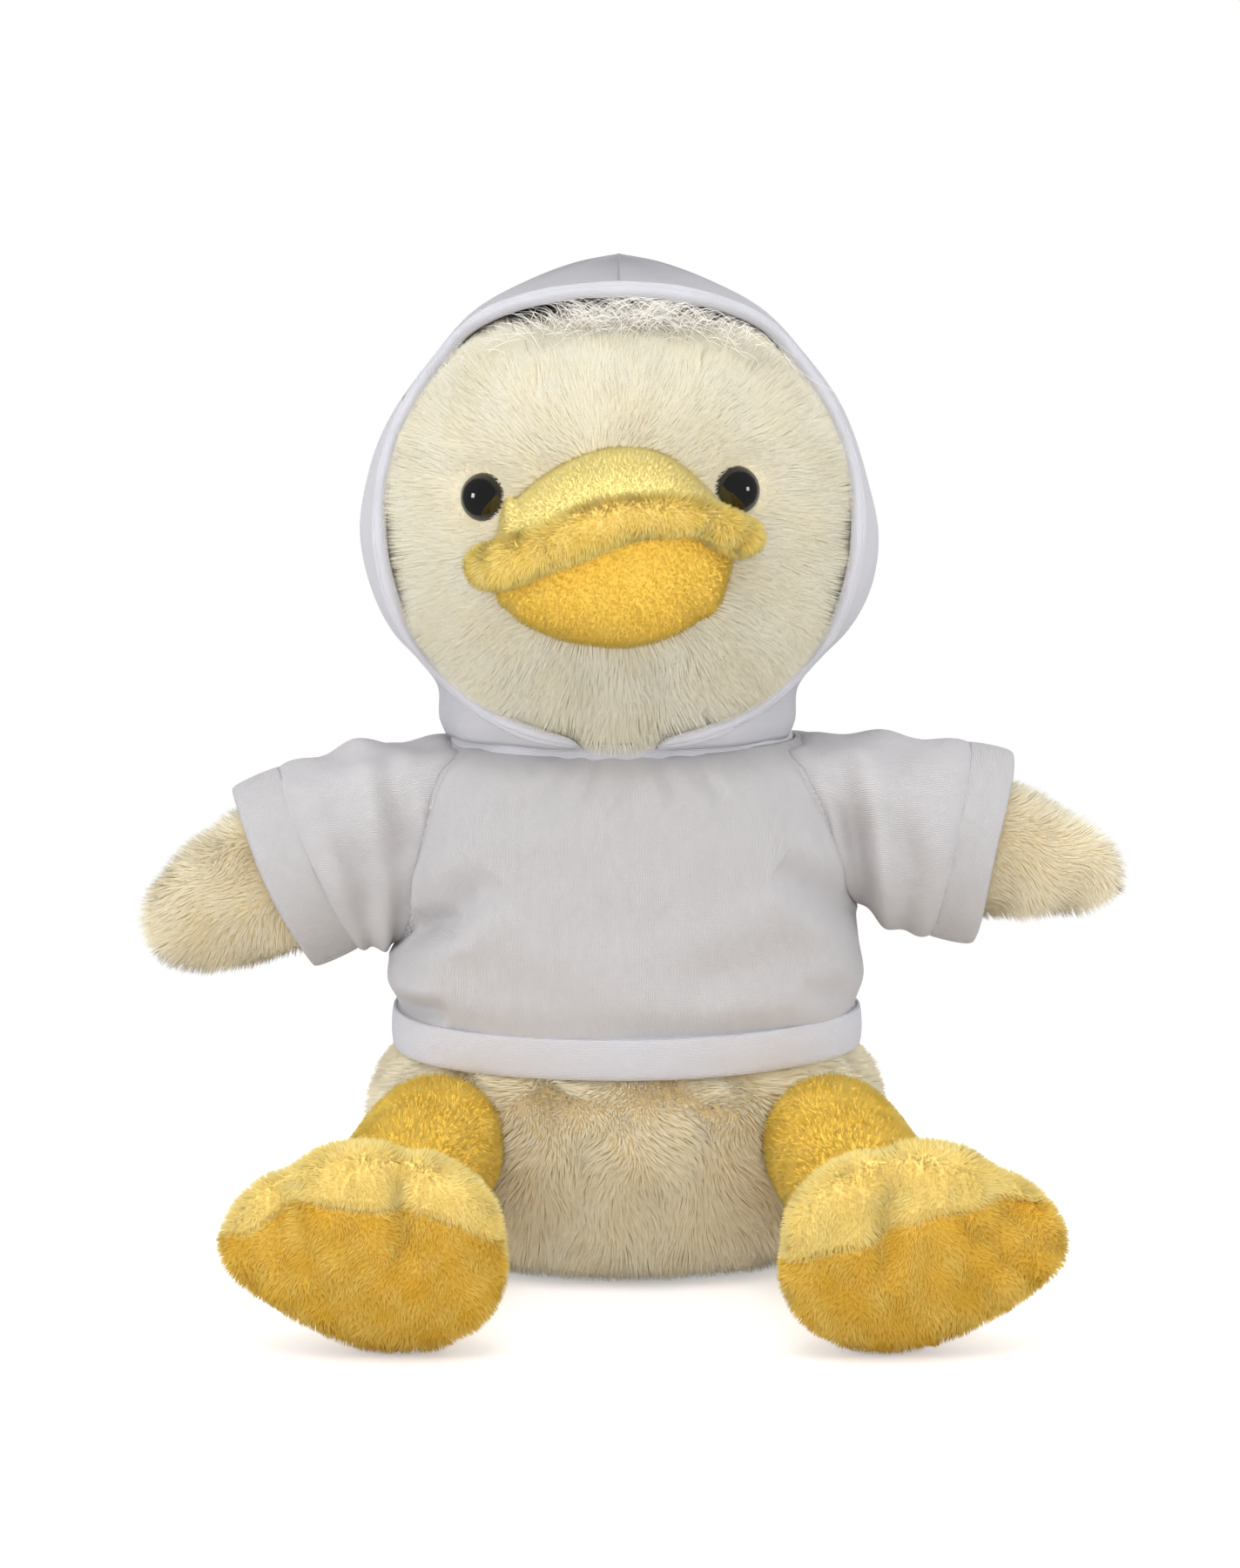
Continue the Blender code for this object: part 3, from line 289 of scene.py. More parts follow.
def ripple(points, size, seed, waves=7):
    """A soft random field over points, from about -1 to 1, with features of the given size."""
    chance = np.random.default_rng(seed)
    found = np.zeros(len(points))
    for _ in range(waves):
        way = chance.normal(size=3)
        way *= 2 * np.pi / (size * np.linalg.norm(way)) * chance.uniform(0.6, 1.5)
        found += np.sin(points @ way + chance.uniform(0, 2 * np.pi))
    return found / math.sqrt(waves)


def unit(vectors):
    """Vectors of length one along the given ones."""
    return vectors / np.maximum(np.linalg.norm(vectors, axis=1, keepdims=True), 1e-12)


def flattened(ways, outs):
    """The part of each way that lies along the surface."""
    return ways - outs * (ways * outs).sum(1, keepdims=True)


def surface(mesh):
    """A mesh's points and its outward directions there."""
    places, outs = np.empty(3 * len(mesh.vertices)), np.empty(3 * len(mesh.vertices))
    mesh.vertices.foreach_get("co", places)
    mesh.vertices.foreach_get("normal", outs)
    return places.reshape(-1, 3), outs.reshape(-1, 3)


def scattered(skin, spacing, seed):
    """Points spread over a skin about a spacing apart, with the skin's outward direction there."""
    mesh = skin.data
    mesh.calc_loop_triangles()
    places, outs = surface(mesh)
    corners = np.empty(3 * len(mesh.loop_triangles), int)
    mesh.loop_triangles.foreach_get("vertices", corners)
    corners = corners.reshape(-1, 3)
    a, b, c = (places[corners[:, k]] for k in range(3))
    areas = np.linalg.norm(np.cross(b - a, c - a), axis=1) / 2
    chance = np.random.default_rng(seed)
    count = int(areas.sum() / spacing ** 2)
    at = (np.arange(count) + chance.uniform(0, 1, count)) * areas.sum() / count
    pick = np.minimum(np.searchsorted(np.cumsum(areas), at), len(areas) - 1)
    first, second = chance.uniform(0, 1, (2, count))
    over = first + second > 1
    first[over], second[over] = 1 - first[over], 1 - second[over]
    shares = np.stack([1 - first - second, first, second], axis=1)[:, :, None]
    return (places[corners[pick]] * shares).sum(1), unit((outs[corners[pick]] * shares).sum(1))


def fibre_pattern(rings):
    """One fibre: a three-sided cone along +Z from 0 to 1, open at the root, cut into rings."""
    bm = bmesh.new()
    bmesh.ops.create_cone(
        bm, cap_ends=False, segments=3, radius1=1.0, radius2=0.0, depth=1.0,
        matrix=Matrix.Translation((0, 0, 0.5)))
    bmesh.ops.remove_doubles(bm, verts=bm.verts, dist=0.001)
    for k in range(1, rings):
        bmesh.ops.bisect_plane(
            bm, geom=bm.verts[:] + bm.edges[:] + bm.faces[:], plane_co=(0, 0, k / rings),
            plane_no=(0, 0, 1))
    bmesh.ops.triangulate(bm, faces=bm.faces)
    bm.verts.index_update()
    points = np.array([vertex.co[:] for vertex in bm.verts])
    faces = np.array([[vertex.index for vertex in face.verts] for face in bm.faces])
    bm.free()
    return points, faces


def grow_pile(name, roots, outs, ways, lengths, width, finish, seed, clump, softness, rings=1,
              clump_size=12, tone_size=0.012, limit=None, sink=0.0004, ease=0.45):
    """A piece of pile: fibres that stand on roots, lean the given ways and gather into tufts."""
    chance = np.random.default_rng(seed)
    count = len(roots)
    heads = unit(outs + ways)
    bends = roots + outs * (lengths * ease)[:, None] + ways * (lengths * ease * 0.25)[:, None]
    tips = roots + heads * lengths[:, None]
    centres = chance.permutation(count)[:max(count // clump_size, 1)]
    tree = KDTree(len(centres))
    for k, i in enumerate(centres):
        tree.insert(roots[i], k)
    tree.balance()
    near = centres[[tree.find(root)[1] for root in roots]]
    pull = (clump * chance.uniform(0.35, 1.0, count))[:, None]
    tips += (tips[near] - tips) * pull
    bends += (bends[near] - bends) * pull * 0.35
    if limit:
        bends, tips = limit(bends), limit(tips)
    pattern, faces = fibre_pattern(rings)
    starts = roots - outs * sink
    along = pattern[:, 2]
    s = along[None, :, None]
    spine = starts[:, None] * (1 - s) ** 2 + bends[:, None] * 2 * s * (1 - s) + tips[:, None] * s ** 2
    aim = unit(tips - starts)
    side = unit(np.cross(aim, unit(chance.normal(size=(count, 3)))))
    other = np.cross(aim, side)
    around = side[:, None] * pattern[None, :, 0, None] + other[:, None] * pattern[None, :, 1, None]
    widths = (width / 2 * chance.uniform(0.75, 1.3, count))[:, None, None]
    taper = ((1 - 0.25 * along) / np.maximum(1 - along, 0.001) * (along < 0.999))[None, :, None]
    points = (spine + around * widths * taper).reshape(-1, 3)
    corners = (faces[None] + (np.arange(count) * len(pattern))[:, None, None]).reshape(-1, 3)
    mesh = bpy.data.meshes.new(name)
    mesh.vertices.add(len(points))
    mesh.vertices.foreach_set("co", points.ravel())
    mesh.loops.add(corners.size)
    mesh.loops.foreach_set("vertex_index", corners.ravel())
    mesh.polygons.add(len(corners))
    mesh.polygons.foreach_set("loop_start", np.arange(len(corners)) * 3)
    mesh.update(calc_edges=True)
    tones = 0.5 + 0.22 * ripple(roots, tone_size, seed + 1) + chance.normal(0, 0.07, count)
    tones = np.clip(tones, 0.02, 0.97)
    spots = as_points(np.clip(tones[:, None] + 0.004 * (np.arange(len(pattern)) % 3)[None], 0, 1),
                      np.broadcast_to(0.02 + 0.96 * along, (count, len(pattern)))).reshape(-1, 2)
    layer = mesh.uv_layers.new(name="OFBake")
    layer.uv.foreach_set("vector", spots[corners.ravel()].ravel())
    mesh.shade_smooth()
    rim = unit(around.reshape(-1, 3) + 1e-9)
    facing = unit(np.repeat(outs, len(pattern), axis=0) * softness + rim * (1 - softness))
    mesh.normals_split_custom_set_from_vertices(facing.tolist())
    mesh.materials.append(finish)
    return placed(name, mesh)


def pile_tint_group():
    """The colour along and among fibres: darker and warmer at the root as painted shade deep in the pile,
    paler at the tip, tufts unlike.
    """
    made = bpy.data.node_groups.new("pile_tint", "ShaderNodeTree")
    for socket in ("Root", "Tip", "Pale"):
        made.interface.new_socket(socket, in_out="INPUT", socket_type="NodeSocketColor")
    made.interface.new_socket("Color", in_out="OUTPUT", socket_type="NodeSocketColor")
    given, out = made.nodes.new("NodeGroupInput"), made.nodes.new("NodeGroupOutput")
    place = new_node(made, "UVMap")
    place.uv_map = "OFBake"
    parts = new_node(made, "SeparateXYZ")
    rise = new_node(made, "MapRange", From_Max=0.75)
    rise.interpolation_type = "SMOOTHSTEP"
    tones = new_node(made, "MapRange", From_Min=0.15, From_Max=0.95)
    length_mix, tone_mix = new_node(made, "Mix"), new_node(made, "Mix")
    for mix in (length_mix, tone_mix):
        mix.data_type = "RGBA"
    wire(made, (place.outputs["UV"], parts.inputs[0]), (parts.outputs["Y"], rise.inputs["Value"]),
         (parts.outputs["X"], tones.inputs["Value"]), (given.outputs["Tip"], tone_mix.inputs["A"]),
         (given.outputs["Pale"], tone_mix.inputs["B"]), (tones.outputs["Result"], tone_mix.inputs["Factor"]),
         (given.outputs["Root"], length_mix.inputs["A"]),
         (tone_mix.outputs["Result"], length_mix.inputs["B"]),
         (rise.outputs["Result"], length_mix.inputs["Factor"]),
         (length_mix.outputs["Result"], out.inputs["Color"]))
    return made


pile_tint = pile_tint_group()


def pile_finish(name, root, tip, pale):
    """The finish of a pile's fibres, soft and matt."""
    made, tree, shader = new_material(name, 0.95, Specular_IOR_Level=0.05)
    tint = new_node(tree, "Group")
    tint.node_tree = pile_tint
    with_values(tint, Root=(*root, 1), Tip=(*tip, 1), Pale=(*pale, 1))
    wire(tree, (tint.outputs["Color"], shader.inputs["Base Color"]))
    return made


def dress(made, body, slot, *nodes):
    """Lets a finished piece ride with its body, and hides the nodes it stands for. The slot is not used."""
    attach(made, body)
    if nodes:
        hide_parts(*nodes)
    return made


def filled(name, place, body):
    """Stuffs a skin: the loose fibre in it has the skin's form, a little smaller."""
    made = shaped(f"{name}_fibre", 40, 30, place, loose_fibre)
    places, outs = surface(made.data)
    made.data.vertices.foreach_set("co", (places - outs * FILLING_GAP).ravel())
    made.data.update()
    dress(made, body, "fibre_filling", f"{name}_filling")


cream_pile = pile_finish("cream_pile", CREAM_ROOT, CREAM_TIP, CREAM_PALE)
cream_backing = mottled("cream_backing", CREAM_ROOT, BACKING_GRAIN, BACKING_DEPTH, 1.0)


def body_place(across, up):
    """The body's form, from the middle of its seat up to the neck."""
    turn = 2 * np.pi * across
    half, level = outline(BODY_PROFILE, up).T
    return as_points(half * np.sin(turn), -half * BODY_DEPTH_SHARE * np.cos(turn), level)


body = dress(shaped("body", 96, 72, body_place, cream_backing), "torso", "cream_pile", "body_skin")
filled("body", body_place, "torso")

LONG_PILE_SPACING = 0.00036
LONG_PILE_LENGTH = 0.0044
LONG_PILE_WIDTH = 0.00030
LEAN_PATCH = 0.016
SWIRL_PATCH = 0.012
LENGTH_PATCH = 0.008
BODY_PILE_TOP = 0.0445
BODY_PILE_FOOT = 0.0018
FIBRE_CLEARANCE = 0.0001


def above_floor(points):
    """Keeps fibres off the table."""
    points[:, 2] = np.maximum(points[:, 2], FIBRE_CLEARANCE)
    return points


def long_pile(name, roots, outs, way, body, seed, length=LONG_PILE_LENGTH, lean=0.48, swirl=0.42,
              clump=0.24, limit=None, width=LONG_PILE_WIDTH, finish=cream_pile):
    """Long pile on chosen roots, leaning the given way over the skin, with soft swirls and tufts."""
    along = unit(flattened(way, outs))
    across = np.cross(outs, along)
    ways = along * (lean * (1 + 0.25 * ripple(roots, LEAN_PATCH, seed)))[:, None]
    ways += across * (swirl * ripple(roots, SWIRL_PATCH, seed + 1))[:, None]
    lengths = length * (1 + 0.07 * ripple(roots, LENGTH_PATCH, seed + 2))
    lengths = lengths * np.random.default_rng(seed + 3).uniform(0.80, 1.10, len(roots))
    made = grow_pile(name, roots, outs, ways, lengths, width, finish, seed + 4, clump, 0.96,
                     clump_size=14, limit=limit)
    return dress(made, body, "cream_pile")


roots, outs = scattered(body, LONG_PILE_SPACING, 11)
kept = (roots[:, 2] < BODY_PILE_TOP) & (roots[:, 2] > BODY_PILE_FOOT)
roots, outs = roots[kept], outs[kept]
front = roots[:, 1] < 0
for part, chosen in (("front", front), ("back", ~front)):
    down = np.broadcast_to(np.array((0, 0, -1.0)), roots[chosen].shape)
    long_pile(f"body_pile_{part}", roots[chosen], outs[chosen], down, "torso",
              12 + 4 * int(part == "back"), limit=above_floor)

# Legs: two stuffed stumps of yellow short-pile fabric, sewn into the body at the hips, where they
# can be lifted. The pile is cut short and lies towards the feet.
SIDES = (("left", 1), ("right", -1))
YELLOW_ROOT = (0.93, 0.61, 0.12)
YELLOW_TIP = (0.95, 0.74, 0.24)
YELLOW_PALE = (0.97, 0.81, 0.34)
# A deeper, more orange copy of the yellow pile for the legs and the lower beak: the deeper orange is painted
# shade, as they lie in shade.
SHADED_YELLOW_ROOT = (0.98, 0.56, 0.06)
SHADED_YELLOW_TIP = (0.99, 0.66, 0.10)
SHADED_YELLOW_PALE = (0.99, 0.75, 0.19)
HIPS = {"left": Vector((0.0385, -0.036, 0.0285)), "right": Vector((-0.036, -0.036, 0.0285))}
LEG_RUN = Vector((0.013, -0.060, -0.010))
LEG_PROFILE = (
    (0.0000, -0.0120), (0.0070, -0.0098), (0.0112, -0.0045), (0.0126, 0.0030), (0.0130, 0.0150),
    (0.0128, 0.0300), (0.0122, 0.0430), (0.0116, 0.0540), (0.0060, 0.0580), (0.0000, 0.0590))
SHORT_PILE_LENGTH = 0.0019
SHORT_PILE_SPACING = 0.00037
SHORT_PILE_WIDTH = 0.00028
SHORT_PILE_SINK = 0.0003
SHORT_LEAN_PATCH = 0.012
SHORT_SWIRL_PATCH = 0.009
SHORT_TONE_PATCH = 0.007
SHORT_BACKING_DEPTH = 0.0002
LEG_PILE_LENGTH = 0.0014
LEG_PILE_SPACING = 0.00042
LEG_PILE_WIDTH = 0.00024
LEG_PILE_START = -0.004
yellow_pile = pile_finish("yellow_pile", YELLOW_ROOT, YELLOW_TIP, YELLOW_PALE)
shaded_yellow_pile = pile_finish("shaded_deep_yellow_pile", SHADED_YELLOW_ROOT, SHADED_YELLOW_TIP, SHADED_YELLOW_PALE)
yellow_backing = mottled("yellow_backing", YELLOW_TIP, BACKING_GRAIN, SHORT_BACKING_DEPTH, 1.0)
shaded_yellow_backing = mottled("shaded_deep_yellow_backing", SHADED_YELLOW_TIP, BACKING_GRAIN, SHORT_BACKING_DEPTH, 1.0)


def frame_along(origin, direction, across):
    """A place whose z runs along the direction and whose x lies nearest to across."""
    z = Vector(direction).normalized()
    x = (Vector(across) - z * Vector(across).dot(z)).normalized()
    return Matrix.Translation(origin) @ Matrix((x, z.cross(x), z)).transposed().to_4x4()


def moved(points, place):
    """Points given in a place's own axes, in the duck's axes."""
    turn = np.array(place)
    return points @ turn[:3, :3].T + turn[:3, 3]


def own_axes(points, place):
    """Points of the duck, in a place's own axes."""
    return moved(points, place.inverted())


def short_pile(name, skin, way, body, slot, seed, finish, keep=None, length=SHORT_PILE_LENGTH, lean=0.5,
               swirl=0.4, clump=0.3, spacing=SHORT_PILE_SPACING, width=SHORT_PILE_WIDTH, limit=None,
               softness=0.88):
    """Short pile all over a skin, laid along the surface the given way, with soft swirls."""
    roots, outs = scattered(skin, spacing, seed)
    if keep:
        chosen = keep(roots)
        roots, outs = roots[chosen], outs[chosen]
    along = unit(flattened(way(roots), outs))
    across = np.cross(outs, along)
    ways = along * (lean * (1 + 0.25 * ripple(roots, SHORT_LEAN_PATCH, seed + 3)))[:, None]
    ways += across * (swirl * ripple(roots, SHORT_SWIRL_PATCH, seed + 4))[:, None]
    lengths = length * np.random.default_rng(seed + 5).uniform(0.8, 1.1, len(roots))
    made = grow_pile(name, roots, outs, ways, lengths, width, finish, seed + 6, clump, softness,
                     clump_size=8, tone_size=SHORT_TONE_PATCH, limit=limit, sink=SHORT_PILE_SINK)
    return dress(made, body, slot)


for side, sign in SIDES:
    run = Vector((sign * LEG_RUN.x, LEG_RUN.y, LEG_RUN.z))
    hip = frame_along(HIPS[side], run, (1, 0, 0))

    def leg_place(across, up):
        turn = 2 * np.pi * across
        half, level = outline(LEG_PROFILE, up).T
        return moved(as_points(half * np.cos(turn), half * np.sin(turn), level), hip)

    def to_foot(at):
        return np.broadcast_to(np.array(run), at.shape)

    def beyond_hip(at):
        return own_axes(at, hip)[:, 2] > LEG_PILE_START

    # The legs wear the shaded copy of the yellow pile: its deeper orange is painted shade.
    leg = dress(shaped(f"{side}_leg", 40, 36, leg_place, shaded_yellow_backing), f"{side}_leg", "yellow_pile",
                f"{side}_leg_skin")
    filled(f"{side}_leg", leg_place, f"{side}_leg")
    short_pile(f"{side}_leg_pile", leg, to_foot, f"{side}_leg", "yellow_pile", 31 + sign, shaded_yellow_pile,
               keep=beyond_hip, length=LEG_PILE_LENGTH, lean=0.45, spacing=LEG_PILE_SPACING,
               width=LEG_PILE_WIDTH, limit=above_floor, softness=0.70)

# Feet: webbed pads that show their soles. The upper is wrapped over the toes to a seam on the
# sole side, and two darts pull the toe edge into three lobes. The sole's deeper, darker yellow is
# painted shade, as the sole faces away from the light above.
FEET = {"left": Vector((0.0519, -0.0935, 0)), "right": Vector((-0.0463, -0.0935, 0))}
FOOT_HALF = (0.0252, 0.0208)
FOOT_LEVEL = 0.0203
FOOT_LEAN = math.radians(24)
FOOT_TURN = math.radians(8)
SOLE_BULGE = 0.0085
UPPER_BULGE = 0.0125
TOE_SEAMS = {
    "left": ((-0.0270, 0.0060), (-0.0200, 0.0105), (-0.0146, 0.0122), (-0.0080, 0.0126), (-0.0010, 0.0121),
             (0.0042, 0.0097), (0.0092, 0.0066), (0.0177, 0.0040), (0.0252, -0.0018)),
    "right": ((-0.0270, 0.0030), (-0.0195, 0.0062), (-0.0145, 0.0105), (-0.0115, 0.0134), (-0.0060, 0.0136),
              (0.0010, 0.0131), (0.0058, 0.0120), (0.0100, 0.0124), (0.0165, 0.0099), (0.0240, 0.0040))}
DARTS = ((0.0068, 0.0030), (-0.0143, 0.0036))
DART_DEPTH = 0.0050
DART_PULL = 0.0012
LOBE_STEP = 0.0022
LOBE_BLEND = 0.0016
TOE_START = -0.0020
SEAM_TUCK = 0.0006
FOOT_CORE_SHARES = (0.92, 0.90, 0.78)
FOOT_OUTLINE = (
    (0.93, 0.06), (0.90, 0.40), (0.72, 0.72), (0.40, 0.94), (0.02, 1.00), (-0.34, 0.92),
    (-0.66, 0.66), (-0.98, 0.30), (-1.07, -0.06), (-0.86, -0.40), (-0.42, -0.78), (0.04, -0.99),
    (0.42, -0.94), (0.74, -0.70), (0.91, -0.34))
# The sole's darker, deeper copy of the yellow pile is painted shade, for the side turned away from the light
# above.
SHADED_SOLE_ROOT = (0.68, 0.33, 0.02)
SHADED_SOLE_TIP = (0.82, 0.50, 0.06)
SHADED_SOLE_PALE = (0.93, 0.68, 0.17)
sole_pile = pile_finish("sole_pile", SHADED_SOLE_ROOT, SHADED_SOLE_TIP, SHADED_SOLE_PALE)
shaded_sole_backing = mottled("shaded_sole_backing", SHADED_SOLE_TIP, BACKING_GRAIN, SHORT_BACKING_DEPTH, 1.0)


def foot_edge(across):
    """The foot's outline in metres, outwards and towards the toes, for shares of a turn."""
    count, spare = len(FOOT_OUTLINE), 3
    ring = [FOOT_OUTLINE[k % count] for k in range(-spare, count + spare + 1)]
    places = [(k - spare) / count for k in range(len(ring))]
    x = through(list(zip(places, [p[0] for p in ring])), across)
    y = through(list(zip(places, [p[1] for p in ring])), across)
    return as_points(x * FOOT_HALF[0], y * FOOT_HALF[1])


def foot_skin(across, out, face):
    """Points of the pad: face 1 for the sole's side and -1 for the upper's, out 0 middle, 1 edge."""
    edge = foot_edge(across)
    bulge = SOLE_BULGE if face > 0 else UPPER_BULGE
    share = np.sin(out * np.pi / 2)
    flat = edge * share[:, None]
    rise = bulge * np.cos(out * np.pi / 2) ** 0.85
    toes = np.clip((flat[:, 1] - TOE_START) / (0.8 * FOOT_HALF[1]), 0, 1) ** 0.8
    for dart, wide in DARTS:
        near = np.exp(-((flat[:, 0] - dart) / wide) ** 2)
        rise -= DART_DEPTH * near * toes * np.cos(out * np.pi / 2) ** 0.5 * (1.0 if face > 0 else 0.4)
        flat[:, 1] -= DART_PULL * near * toes * share ** 3
    outer = 1 / (1 + np.exp(np.clip((flat[:, 0] - DARTS[1][0]) / LOBE_BLEND, -30, 30)))
    rise -= LOBE_STEP * outer * toes * face
    return as_points(flat[:, 0], flat[:, 1], face * rise)


def seam_share(across, side):
    """How far out from the middle of the sole the seam lies: inside the toe edge, at it elsewhere."""
    edge = foot_edge(across)
    low, high = np.full(len(edge), 0.05), np.ones(len(edge))
    for _ in range(24):
        share = (low + high) / 2
        above = share * edge[:, 1] > through(TOE_SEAMS[side], share * edge[:, 0])
        low, high = np.where(above, low, share), np.where(above, share, high)
    return np.arcsin(high) * 2 / np.pi


for side, sign in SIDES:
    foot = (Matrix.Translation(FEET[side] + Vector((0, 0, FOOT_LEVEL)))
            @ Matrix.Rotation(sign * FOOT_TURN, 4, "Z")
            @ Matrix.Rotation(math.pi / 2 + FOOT_LEAN, 4, "X") @ Matrix.Diagonal((-sign, 1, 1, 1)))

    def pad(across, up):
        """The whole pad, from the middle of the upper over the edge to the middle of the sole."""
        upper = foot_skin(across, np.clip(up * 2, 0, 1), -1)
        lower = foot_skin(across, np.clip(2 - up * 2, 0, 1), 1)
        return np.where((up < 0.5)[:, None], upper, lower)

    def upper_place(across, up):
        out = 1 - seam_share(across, side) / 2
        at = pad(across, np.clip(up * out, 0, 1))
        at[:, 2] -= np.where(up > 0.97, SEAM_TUCK, 0) * np.sign(at[:, 2])
        return moved(at, foot)

    def sole_place(across, up):
        out = 1 - seam_share(across, side) / 2
        at = pad(across, out + (1 - out) * up)
        at[:, 2] -= np.where(up < 0.03, SEAM_TUCK, 0)
        return moved(at, foot)

    def inner_pad(across, up):
        return moved(pad(across, up) * np.array(FOOT_CORE_SHARES), foot)

    def toes_down(at):
        return np.broadcast_to(np.array(foot.to_3x3() @ Vector((0, -1, 0))), at.shape)

    upper = dress(shaped(f"{side}_foot_upper_skin", 72, 40, upper_place, yellow_backing),
                  f"{side}_leg", "yellow_pile", f"{side}_foot_upper")
    sole = dress(shaped(f"{side}_foot_sole_skin", 72, 26, sole_place, shaded_sole_backing),
                 f"{side}_leg", "sole_pile", f"{side}_foot_sole")
    dress(shaped(f"{side}_foot_fibre", 40, 30, inner_pad, loose_fibre),
          f"{side}_leg", "fibre_filling", f"{side}_foot_filling")
    short_pile(f"{side}_foot_upper_pile", upper, toes_down, f"{side}_leg", "yellow_pile", 41 + sign,
               yellow_pile, clump=0.15, limit=above_floor)
    short_pile(f"{side}_foot_sole_pile", sole, toes_down, f"{side}_leg", "sole_pile", 51 + sign, sole_pile,
               lean=0.40, swirl=0.7, clump=0.2, limit=above_floor)

# Tail: a small flat cone of the body's cream pile fabric, sewn low on the back. The photograph
# doesn't show it, so its form is a guess.
TAIL_ROOT = Vector((0, 0.036, 0.024))
TAIL_RISE = math.radians(25)
TAIL_PROFILE = (
    (0.0000, 0.0000), (0.0096, 0.0004), (0.0092, 0.0080), (0.0070, 0.0140), (0.0036, 0.0185),
    (0.0000, 0.0205))
TAIL_FLATNESS_SHARE = 0.55
TAIL_PILE_START = 0.040
tail_root = frame_along(TAIL_ROOT, (0, math.cos(TAIL_RISE), math.sin(TAIL_RISE)), (1, 0, 0))


def tail_place(across, up):
    """The tail's form, from its root to its tip."""
    turn = 2 * np.pi * across
    half, level = outline(TAIL_PROFILE, up).T
    own = as_points(half * np.cos(turn), half * TAIL_FLATNESS_SHARE * np.sin(turn), level)
    return moved(own, tail_root)


tail = dress(shaped("tail_skin", 24, 20, tail_place, cream_backing), "torso", "cream_pile", "tail")
roots, outs = scattered(tail, LONG_PILE_SPACING, 61)
kept = roots[:, 1] > TAIL_PILE_START
roots, outs = roots[kept], outs[kept]
long_pile("tail_pile", roots, outs, np.broadcast_to(np.array(tail_root)[:3, 2], roots.shape), "torso", 62)

# Wings: flat mitts of cream long pile, lightly stuffed and sewn into the body at the shoulders. The
# sleeves hide their roots, so the pile starts under the cuffs and lies towards the tips.
SHOULDERS = {"left": (0.043, math.radians(12)), "right": (-0.043, math.radians(24.5))}
SHOULDER_LEVEL = 0.0855
WING_BEND = 0.0010
WING_LENGTH = 0.0565
WING_WIDTHS = {
    "left": (
        (-0.0125, 0.0000), (-0.0105, 0.0068), (-0.0060, 0.0108), (0.0000, 0.0118), (0.0080, 0.0122),
        (0.0200, 0.0128), (0.0270, 0.0120), (0.0330, 0.0106), (0.0390, 0.0090), (0.0440, 0.0074),
        (0.0490, 0.0054), (0.0520, 0.0034), (0.0535, 0.0000)),
    "right": (
        (-0.0125, 0.0000), (-0.0105, 0.0068), (-0.0060, 0.0108), (0.0000, 0.0118), (0.0080, 0.0122),
        (0.0181, 0.0130), (0.0260, 0.0130), (0.0330, 0.0122), (0.0395, 0.0112), (0.0450, 0.0096),
        (0.0500, 0.0070), (0.0530, 0.0042), (0.0545, 0.0000))}
WING_FLATNESS_SHARE = 0.58
WING_PILE_START = 0.0240
WING_PILE_LENGTH = 0.0038
WING_PILE_HANG = 0.35


def shoulder(side):
    """The wing's place at its shoulder, with z towards its tip."""
    x, droop = SHOULDERS[side]
    way = (math.copysign(math.cos(droop), x), 0, -math.sin(droop))
    return frame_along((x, 0, SHOULDER_LEVEL), way, (0, 0, 1))


for side, sign in SIDES:
    place = shoulder(side)

    def wing_place(across, up):
        turn = 2 * np.pi * across
        level, half = outline(WING_WIDTHS[side], up).T
        drop = WING_BEND * (np.maximum(level, 0) / WING_LENGTH) ** 2
        thin = half * WING_FLATNESS_SHARE
        return moved(as_points(half * np.cos(turn) - drop, thin * np.sin(turn), level), place)

    wing = dress(shaped(f"{side}_wing", 44, 44, wing_place, cream_backing), f"{side}_wing", "cream_pile",
                 f"{side}_wing_skin")
    filled(f"{side}_wing", wing_place, f"{side}_wing")
    roots, outs = scattered(wing, LONG_PILE_SPACING, 71 + sign)
    kept = own_axes(roots, place)[:, 2] > WING_PILE_START
    roots, outs = roots[kept], outs[kept]
    way = np.array(place)[:3, 2] + WING_PILE_HANG * np.array((0, 0, -1.0))
    long_pile(f"{side}_wing_pile", roots, outs, np.broadcast_to(way, roots.shape), f"{side}_wing", 81 + sign,
              length=WING_PILE_LENGTH, lean=0.50, swirl=0.40, clump=0.20)

# Head: an egg of cream long pile, stuffed, with a flat crown. The pile stands almost straight out,
# leans away from the beak all round, and is parted round the eyes and the beak.
HEAD_PLACE = Vector((-0.0016, -0.002, 0.145))
HEAD_DEPTH_SHARE = 0.91
HEAD_PROFILE = (
    (0.0300, 0.1050), (0.0332, 0.1100), (0.0372, 0.1170), (0.0416, 0.1250), (0.0445, 0.1350),
    (0.0454, 0.1450), (0.0449, 0.1520), (0.0430, 0.1618), (0.0368, 0.1712), (0.0300, 0.1757),
    (0.0215, 0.1785), (0.0105, 0.1800), (0.0000, 0.1804))
HEAD_SOLID = np.array((0.0465, 0.0425, 0.0450))
EYE_SPOTS = {"left": (0.0210, 0.1530), "right": (-0.0276, 0.1515)}
EYE_RADIUS = 0.0046
EYE_SINK = 0.0012
EYE_NEAR = 0.0043
EYE_CLEAR = 0.0044
EYE_PILE_LAP = 0.0003
FACE_PILE_LENGTH = 0.0044
FACE_PILE_SPACING = 0.00028
FACE_PILE_WIDTH = 0.00025
FACE_PILE_BACK = 0.010
FACE_PARTING = (-0.0023, -0.036, 0.1440)
FACE_THIRD = 0.0150
